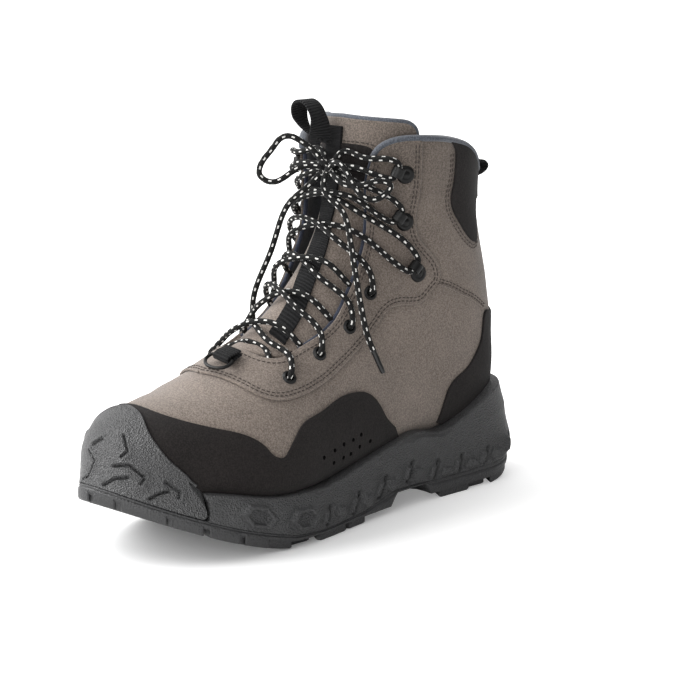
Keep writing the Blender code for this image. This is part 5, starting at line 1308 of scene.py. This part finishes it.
def wallForm(along, height):
    # How far the side stands out at each place
    total = np.zeros(len(along))
    for atAlong, atHeight, size in wallRelief["hexagons"]:
        inside = hexDistance((along - atAlong) * 0.62, height - atHeight)
        total += wallDepth["hexagon"] * (1 - smoothStep(inside, size * 0.84, size))
        total -= wallDepth["sunk"] * (1 - smoothStep(inside, size * 0.50, size * 0.64))
    for atAlong, low, high, slant in wallRelief["slits"]:
        high = max(low + 0.006, high)
        share = np.clip((height - low) / (high - low), 0, 1)
        centre = atAlong - slant * (share - 0.5)
        away = np.hypot(along - centre, height - (low + share * (high - low)))
        total -= wallDepth["slit"] * np.exp(-(away / wallDepth["slitHalf"]) ** 2)
        lip = np.exp(-((along - centre - 0.0034) / 0.0018) ** 2)
        total += wallDepth["lip"] * lip * smoothStep(0.5 - np.abs(share - 0.5), 0, 0.2)
    for atAlong, atHeight, size in wallRelief["bumps"]:
        inside = hexDistance(along - atAlong, height - atHeight)
        total += wallDepth["bump"] * (1 - smoothStep(inside, size * 0.78, size))
    atAlong, atHeight, halfLength, halfHeight, stand = wallRelief["swelling"]
    total += stand * np.exp(-((along - atAlong) / halfLength) ** 4 - ((height - atHeight) / halfHeight) ** 2)
    total += wallDepth["heel"] * np.exp(-((height - 0.021) / 0.013) ** 2) * (1 - smoothStep(along, 0.012, 0.055))
    # A shallow scalloped band above the outsole's edge
    wave = np.sin((along + height * 0.35) * 2 * math.pi / wallDepth["scallopPitch"])
    inBand = smoothStep(height, 0.008, 0.014) * (1 - smoothStep(height, 0.022, 0.030))
    return total + wallDepth["scallop"] * wave * inBand * (1 - smoothStep(along, 0.25, 0.27))


# Where the upper's skin lies behind the rim, so that the ledge closes onto it
rayStart = 0.004
skinTree = BVHTree.FromObject(upper, bpy.context.evaluated_depsgraph_get())
rimHeight = rim(loopAlong)
ledge = np.full(ringCount, 0.012)
for n, start in enumerate(ring(-rayStart, rimHeight)):
    hit = skinTree.ray_cast(Vector(start), Vector((-loopOut[n, 0], loopOut[n, 1], 0)), 0.03)
    if hit[0] is not None:
        ledge[n] = hit[3] - rayStart + 0.0012
ledge = np.array([np.median(ledge[np.arange(n - 4, n + 5) % ringCount]) for n in range(ringCount)])

# How far back the cap reaches on each side at each height
capHeights = np.linspace(0.0, 0.075, 51)
capReach = {}
for sideSign in (1.0, -1.0):
    half = capOuter[capOuter[:, 0] * sideSign > 0.012]
    reach = [boot["heelToOrigin"] - half[np.abs(half[:, 2] - h) < 0.0022, 1].max(initial=-1) for h in capHeights]
    reach = np.array([r if r < 0.5 else np.nan for r in reach])
    known = ~np.isnan(reach)
    capReach[sideSign] = np.interp(capHeights, capHeights[known], reach[known])


def underCap(height):
    # 1 where the ring runs behind the cap, 0 where it is open to view
    lateral, medial = (np.interp(height, capHeights, capReach[side]) for side in (1.0, -1.0))
    edge = np.where(loopSide > 0, lateral, medial)
    return smoothStep(loopAlong, edge - 0.0007, edge + 0.0003)


tilt = lean(loopAlong)
draft = np.maximum(tilt - 0.004, 0)
middle = np.maximum(tilt * 0.35, draft)
low = seam(loopAlong) + 0.0001
lowCore = sole["capCore"] * underCap(seam(loopAlong))
rows = 56
rimForm = {"rounding": 0.0012, "bend": 0.0004, "top": 0.0013, "inside": 0.0022}
rings = [ring(sole["treadRim"] + lowCore, low)]
for k in range(rows + 1):
    share = k / rows
    height = low * (1 - share) + (rimHeight - rimForm["rounding"]) * share
    base = draft + (middle - draft) * np.clip((share - 0.3) / 0.4, 0, 1)
    base += (tilt - middle) * max(share - 0.7, 0) / 0.3
    ahead = underCap(height)
    core = sole["capCore"] * ahead
    fade = smoothStep(share, 0, 0.08) * smoothStep(share, 1, 0.93) * (1 - ahead)
    rings.append(ring(base + core - wallForm(loopAlong, height - spring(loopAlong)) * fade, height))
rings.append(ring(tilt + rimForm["bend"] + core, rimHeight - rimForm["bend"]))
rings.append(ring(tilt + rimForm["top"] + core, rimHeight))
inner = np.maximum(ledge, tilt + rimForm["inside"]) + core * 0.5
rings.append(ring(inner, rimHeight - 0.0002))
rings.append(ring(inner + 0.0004, rimHeight * 0.5 + low * 0.5))
rings.append(ring(np.maximum(inner, sole["treadRim"] + np.maximum(core, lowCore) + 0.001), low + 0.0006))
addPiece("midsoleWall", "midsole_rubber", np.vstack(rings), ringFaces(len(rings), ringCount, True), wallRubber,
         stands="midsole")
print("midsole made")

# Outsole: the plate, its notched edge band and the hexagonal lugs
under = plateUnder(loopAlong)
toeSlots = [(-.005, .304), (.011, .299), (.0324, .2813), (.043, .265), (.0507, .2464), (-.024, .296),
            (-.0385, .278), (-.048, .258), (-.052, .238)]
toeBand = {"start": 0.231, "slot": 0.0013, "depth": 0.011}
seamHeight = seam(loopAlong)
band = 14
edgeForm = {"inset": 0.0003, "bulge": 0.0008, "notch": 0.0005, "notchAt": 0.72, "notchWidth": 0.07}
rings = [ring(0.0035, under + 0.0002), ring(0.0020, under)]
for k in range(band + 1):
    share = k / band
    height = under * (1 - share) + seamHeight * share
    notch = edgeForm["notch"] * math.exp(-((share - edgeForm["notchAt"]) / edgeForm["notchWidth"]) ** 2)
    rings.append(ring(edgeForm["inset"] - (edgeForm["bulge"] * math.sin(math.pi * share) - notch), height))
rings.append(ring(0.0010, seamHeight + 0.0003))
rings.append(ring(sole["treadRim"] + 0.004, seamHeight + 0.0003))
points, faces = np.vstack(rings), ringFaces(len(rings), ringCount, ends=False)
# Both sides close with a grid whose height follows the sole
for edge, height, start in ((rings[0], lambda along: plateUnder(along) + 0.0002, 0),
                            (rings[-1], bed, (len(rings) - 1) * ringCount)):
    outline = edge[:, :2]
    (lowX, lowY), (highX, highY) = outline.min(axis=0), outline.max(axis=0)
    grid = np.array([(x, y) for y in np.arange(lowY + .004, highY, .004)
                     for x in np.arange(lowX + .004, highX, .008)])
    knots, triangles, sources = triangulated(outline, grid, 0.003)
    number, extra = [], []
    for knot, source in zip(knots, sources):
        if source and source[0] < ringCount:
            number.append(start + source[0])
        else:
            number.append(len(points) + len(extra))
            extra.append((*knot, float(height(np.array([boot["heelToOrigin"] - knot[1]]))[0])))
    points = np.vstack([points, extra])
    faces += [tuple(number[k] for k in face) for face in triangles]
addPiece("outsolePlate", "outsole_rubber", points, faces, treadRubber, stands="outsole")

# The toe's edge lugs: the band carried down to the tread between narrow slots
isBand = loopAlong > toeBand["start"]
for x, along in toeSlots:
    isBand &= np.linalg.norm(loop - (x, along), axis=1) > toeBand["slot"]
runs, current = [], []
startAt = int(np.nonzero(~isBand)[0][0])
for n in [(startAt + k) % ringCount for k in range(ringCount)]:
    if isBand[n]:
        current.append(n)
    elif current:
        runs.append(current)
        current = []
bandPoints, bandFaces = [], []
for run in runs:
    if len(run) < 4:
        continue
    here, top, bottom = loop[run], plateUnder(loopAlong[run]) + 0.0030, tread(loopAlong[run]) - 0.0001
    section = [(-0.0002, top), (-0.0006, top - 0.0012), (-0.0007, bottom + 0.0016), (-0.0002, bottom + 0.0004),
               (0.0006, bottom), (toeBand["depth"] - 0.0008, bottom), (toeBand["depth"], bottom + 0.0008),
               (toeBand["depth"], top)]
    bandFaces += ringFaces(len(run), len(section), start=len(bandPoints))
    for k, n in enumerate(run):
        tuck = 0.0005 if k in (0, len(run) - 1) else 0.0
        for inset, height in section:
            flat = here[k] - loopOut[n] * (inset + tuck)
            bandPoints.append((flat[0], boot["heelToOrigin"] - flat[1], height[k]))
addPiece("toeLugs", "outsole_rubber", bandPoints, bandFaces, treadRubber, smoothAngle=35)

pitch = sole["lugAcross"] + sole["lugSpace"]
radius = sole["lugAcross"] / math.sqrt(3)
archStart, archEnd = archLine[0][0] * boot["length"], archLine[-1][0] * boot["length"]
trimLoop = loop - loopOut * 0.0006


def lugOutline(x, along):
    # A hexagon clipped to the sole's outline
    corners = np.array([np.add((x, along), circlePoint(radius, 30 + 60 * k)) for k in range(7)])
    outline = np.vstack([np.linspace(p, q, 12, endpoint=False) for p, q in zip(corners[:-1], corners[1:])])
    for k in np.nonzero(~isInside(trimLoop, outline))[0]:
        outline[k] = trimLoop[np.argmin(np.linalg.norm(trimLoop - outline[k], axis=1))]
    return outline


lugPoints, lugFaces = [], []
lugMark = {"chamfer": 0.0012, "hollow": 0.0009, "hollowShare": 0.46}
# Rings of a lug from its root down: share of its outline and height above the tread
lugLayers = [(1.0, None), (1.0, 0.0009), (1 - lugMark["chamfer"] / radius, 0), (lugMark["hollowShare"] + 0.06, 0),
             (lugMark["hollowShare"], lugMark["hollow"]), (0.05, lugMark["hollow"])]
for row in range(-4, int(boot["length"] / (pitch * 0.866)) + 2):
    along = boot["heelToOrigin"] + row * pitch * math.sqrt(3) / 2
    if archStart < along < archEnd or not -radius < along < boot["length"] + radius:
        continue
    for column in range(-4, 5):
        x = (column + (row % 2) / 2) * pitch
        near = np.linalg.norm(loop - (x, along), axis=1)
        if not isInside(loop, np.array([(x, along)]))[0] and near.min() > 0.003:
            continue
        outline = lugOutline(x, along)
        centre = outline.mean(axis=0)
        lugFaces += ringFaces(len(lugLayers), len(outline), start=len(lugPoints))
        for share, lift in lugLayers:
            shrunk = centre + (outline - centre) * share
            if lift is None:
                z = np.minimum(plateUnder(shrunk[:, 1]) + 0.0010, seam(shrunk[:, 1]) - 0.0008)
            else:
                z = tread(shrunk[:, 1]) + lift
            lugPoints += [(p[0], boot["heelToOrigin"] - p[1], h) for p, h in zip(shrunk, z)]
addPiece("treadLugs", "outsole_rubber", lugPoints, lugFaces, treadRubber, smoothAngle=35)
print("outsole made")


# Stitches by Geometry Nodes: a small rounded stitch repeated along curves on the upper
def slide(plan, away):
    # Moves a plan line sideways over the upper by a distance in metres
    turns, stations = fromPlan(plan)
    acrossStep = onSkin(turns + 0.5, stations) - onSkin(turns - 0.5, stations)
    riseStep = (onSkin(turns, stations + 0.02) - onSkin(turns, stations - 0.02)) / 0.04
    ways = unit(np.gradient(onSkin(turns, stations), axis=0))
    side = np.cross(lastNormals(turns, stations), ways) * away
    aa, ab, bb = (acrossStep ** 2).sum(1), (acrossStep * riseStep).sum(1), (riseStep ** 2).sum(1)
    sa, sb = (side * acrossStep).sum(1), (side * riseStep).sum(1)
    det = aa * bb - ab * ab
    moved = np.column_stack([turns + (sa * bb - sb * ab) / det, stations + (sb * aa - sa * ab) / det])
    return toPlan(moved)


def spreadTree(name, source, sizes):
    # A node group with one geometry input and named sizes: the tree, its inputs, their identifiers
    tree = bpy.data.node_groups.new(name, "GeometryNodeTree")
    tree.interface.new_socket(source, in_out="INPUT", socket_type="NodeSocketGeometry")
    identifiers = {}
    for label, value in sizes.items():
        socket = tree.interface.new_socket(label, in_out="INPUT", socket_type="NodeSocketFloat")
        socket.default_value = value
        identifiers[label] = socket.identifier
    tree.interface.new_socket("Pieces", in_out="OUTPUT", socket_type="NodeSocketGeometry")
    return tree, addNode(tree, "NodeGroupInput").outputs, identifiers


def spreadOut(tree, finish, way, inputs):
    # Puts an instance on every point, its Z along the way, as one plain mesh of one finish
    align = addNode(tree, "FunctionNodeAlignRotationToVector", {"axis": "Z"}, {"Vector": way})
    inputs = {"Rotation": align.outputs["Rotation"], **inputs}
    spread = addNode(tree, "GeometryNodeInstanceOnPoints", None, inputs)
    real = addNode(tree, "GeometryNodeRealizeInstances", None, {"Geometry": spread.outputs["Instances"]})
    paint = addNode(tree, "GeometryNodeSetMaterial", None,
                    {"Geometry": real.outputs["Geometry"], "Material": finish.material})
    addNode(tree, "NodeGroupOutput", None, {"Pieces": paint.outputs["Geometry"]})


def grownMesh(name, source, tree, identifiers, sizes):
    # Runs a node tree on a source object and keeps the result as a plain mesh
    grower = source.modifiers.new("grow", "NODES")
    grower.node_group = tree
    for label, value in sizes.items():
        grower[identifiers[label]] = value
    evaluated = source.evaluated_get(bpy.context.evaluated_depsgraph_get())
    mesh = bpy.data.meshes.new_from_object(evaluated)
    mesh.name = name
    source.modifiers.remove(grower)
    bpy.data.objects.remove(source)
    mesh.shade_smooth()
    onBoot(name, mesh)


sewing = {"Pitch": 0.0029, "Stitch length": 0.0023, "Thread": 0.00078}
sewingTree, sizes, sewingNames = spreadTree("stitching", "Rows", sewing)
even = addNode(sewingTree, "GeometryNodeResampleCurve", {"mode": "LENGTH"},
               {"Curve": sizes["Rows"], "Length": sizes["Pitch"]})
stitch = addNode(sewingTree, "GeometryNodeMeshUVSphere", None, {"Segments": 6, "Rings": 5, "Radius": 0.5})
stitchSize = addNode(sewingTree, "ShaderNodeCombineXYZ", None,
                     {"X": sizes["Thread"], "Y": sizes["Thread"], "Z": sizes["Stitch length"]})
spreadOut(sewingTree, thread, addNode(sewingTree, "GeometryNodeInputTangent").outputs[0], {
    "Points": even.outputs["Curve"], "Instance": stitch.outputs["Mesh"], "Scale": stitchSize.outputs[0]})


def addStitches(name, rows):
    curve = bpy.data.curves.new("rows", "CURVE")
    curve.dimensions = "3D"
    for row in rows:
        spline = curve.splines.new("POLY")
        spline.points.add(len(row) - 1)
        spline.points.foreach_set("co", np.column_stack([row, np.ones(len(row))]).astype(np.float32).ravel())
    grownMesh(name, placed("rows", curve), sewingTree, sewingNames, sewing)


rows = []


def sew(row, height, other=mirrored):
    # A row of stitches and its twin on the other side
    rows.extend([skinPath(row, height), skinPath(other(row), height)])


# How far each pair of rows lies from its edge, in metres
rowsAway = {"stay": (0.0017, 0.0036), "throatTip": 0.0035, "throat": (0.0022, 0.0040), "cuff": (0.0018, 0.0037),
            "seam": (0.0014, 0.0030)}
onOverlay = overlay["top"] + sewing["Thread"] * 0.12
onFabric = sewing["Thread"] * 0.15
throatStations = fromPlan(throat)[1]
for away in rowsAway["stay"]:
    row = slide(stayEdge[fromPlan(stayEdge)[1] < 15.58], away)
    sew(row[(fromPlan(row)[0] > 0) & (fromPlan(row)[1] < 15.6)], onOverlay)
row = slide(throat[throatStations < 7.7], -rowsAway["throatTip"])
sew(row[fromPlan(row)[0] > 0], onOverlay)
for away in rowsAway["throat"]:
    sew(slide(throat[(throatStations > 7.75) & (throatStations < 14.3)], -away), onOverlay)
for away in rowsAway["cuff"]:
    row = slide(cuffEdge[fromPlan(cuffEdge)[1] < 15.5], -away)
    sew(row[fromPlan(row)[0] < 181], onFabric, aroundBack)
seamLine = smoothLine(cutLines["backSeam"])
for away in rowsAway["seam"]:
    sew(slide(seamLine, away), onFabric)
addStitches("stitches.upper", rows)

# One row round the tongue's patch, a little larger than the patch about its middle
patchRing = {"middle": 14.05, "across": 1.11, "up": 1.14}
patchTurns, patchStations = fromPlan(np.vstack([patch, patch[:1]]))
patchStations = patchRing["middle"] + (patchStations - patchRing["middle"]) * patchRing["up"]
patchRow = onSkin(patchTurns * patchRing["across"], patchStations, insoleTop + onFabric, False)
addStitches("stitches.tongue", [patchRow])

# The back seam's folded edge
for label, line in (("lateral", seamLine), ("medial", mirrored(seamLine))):
    addTube("backSeam." + label, "upper_fabric", skinPath(line, 0.0001), 0.0005, taupeStay, sides=8)

# Pinhole vents in the rand's side, by Geometry Nodes on points: dark discs on the surface, painted shade for the
# holes
ventPlaces = [(92, 6.63), (92, 6.93), (92, 7.17), (93, 7.40), (93, 7.60), (102, 6.86), (103, 7.11), (104, 7.29),
              (102, 7.51), (103, 7.76)]
places = np.array([(turn * side, station) for turn, station in ventPlaces for side in (1, -1)], float)
ventMesh = bpy.data.meshes.new("vents")
ventMesh.from_pydata(onSkin(*places.T, overlay["top"] + 0.00003).tolist(), [], [])
wayOut = ventMesh.attributes.new("wayOut", "FLOAT_VECTOR", "POINT")
wayOut.data.foreach_set("vector", lastNormals(*places.T).astype(np.float32).ravel())
vents = {"Hole radius": 0.00112}
ventTree, sizes, ventNames = spreadTree("ventHoleShades", "Places", vents)
hole = addNode(ventTree, "GeometryNodeMeshCylinder", None,
               {"Vertices": 18, "Depth": 0.0002, "Radius": sizes["Hole radius"]})
facing = addNode(ventTree, "GeometryNodeInputNamedAttribute", {"data_type": "FLOAT_VECTOR"}, {"Name": "wayOut"})
spreadOut(ventTree, dark, facing.outputs["Attribute"],
          {"Points": sizes["Places"], "Instance": hole.outputs["Mesh"]})
grownMesh("ventHoleShades", placed("vents", ventMesh), ventTree, ventNames, vents)
print("stitches and vents made")
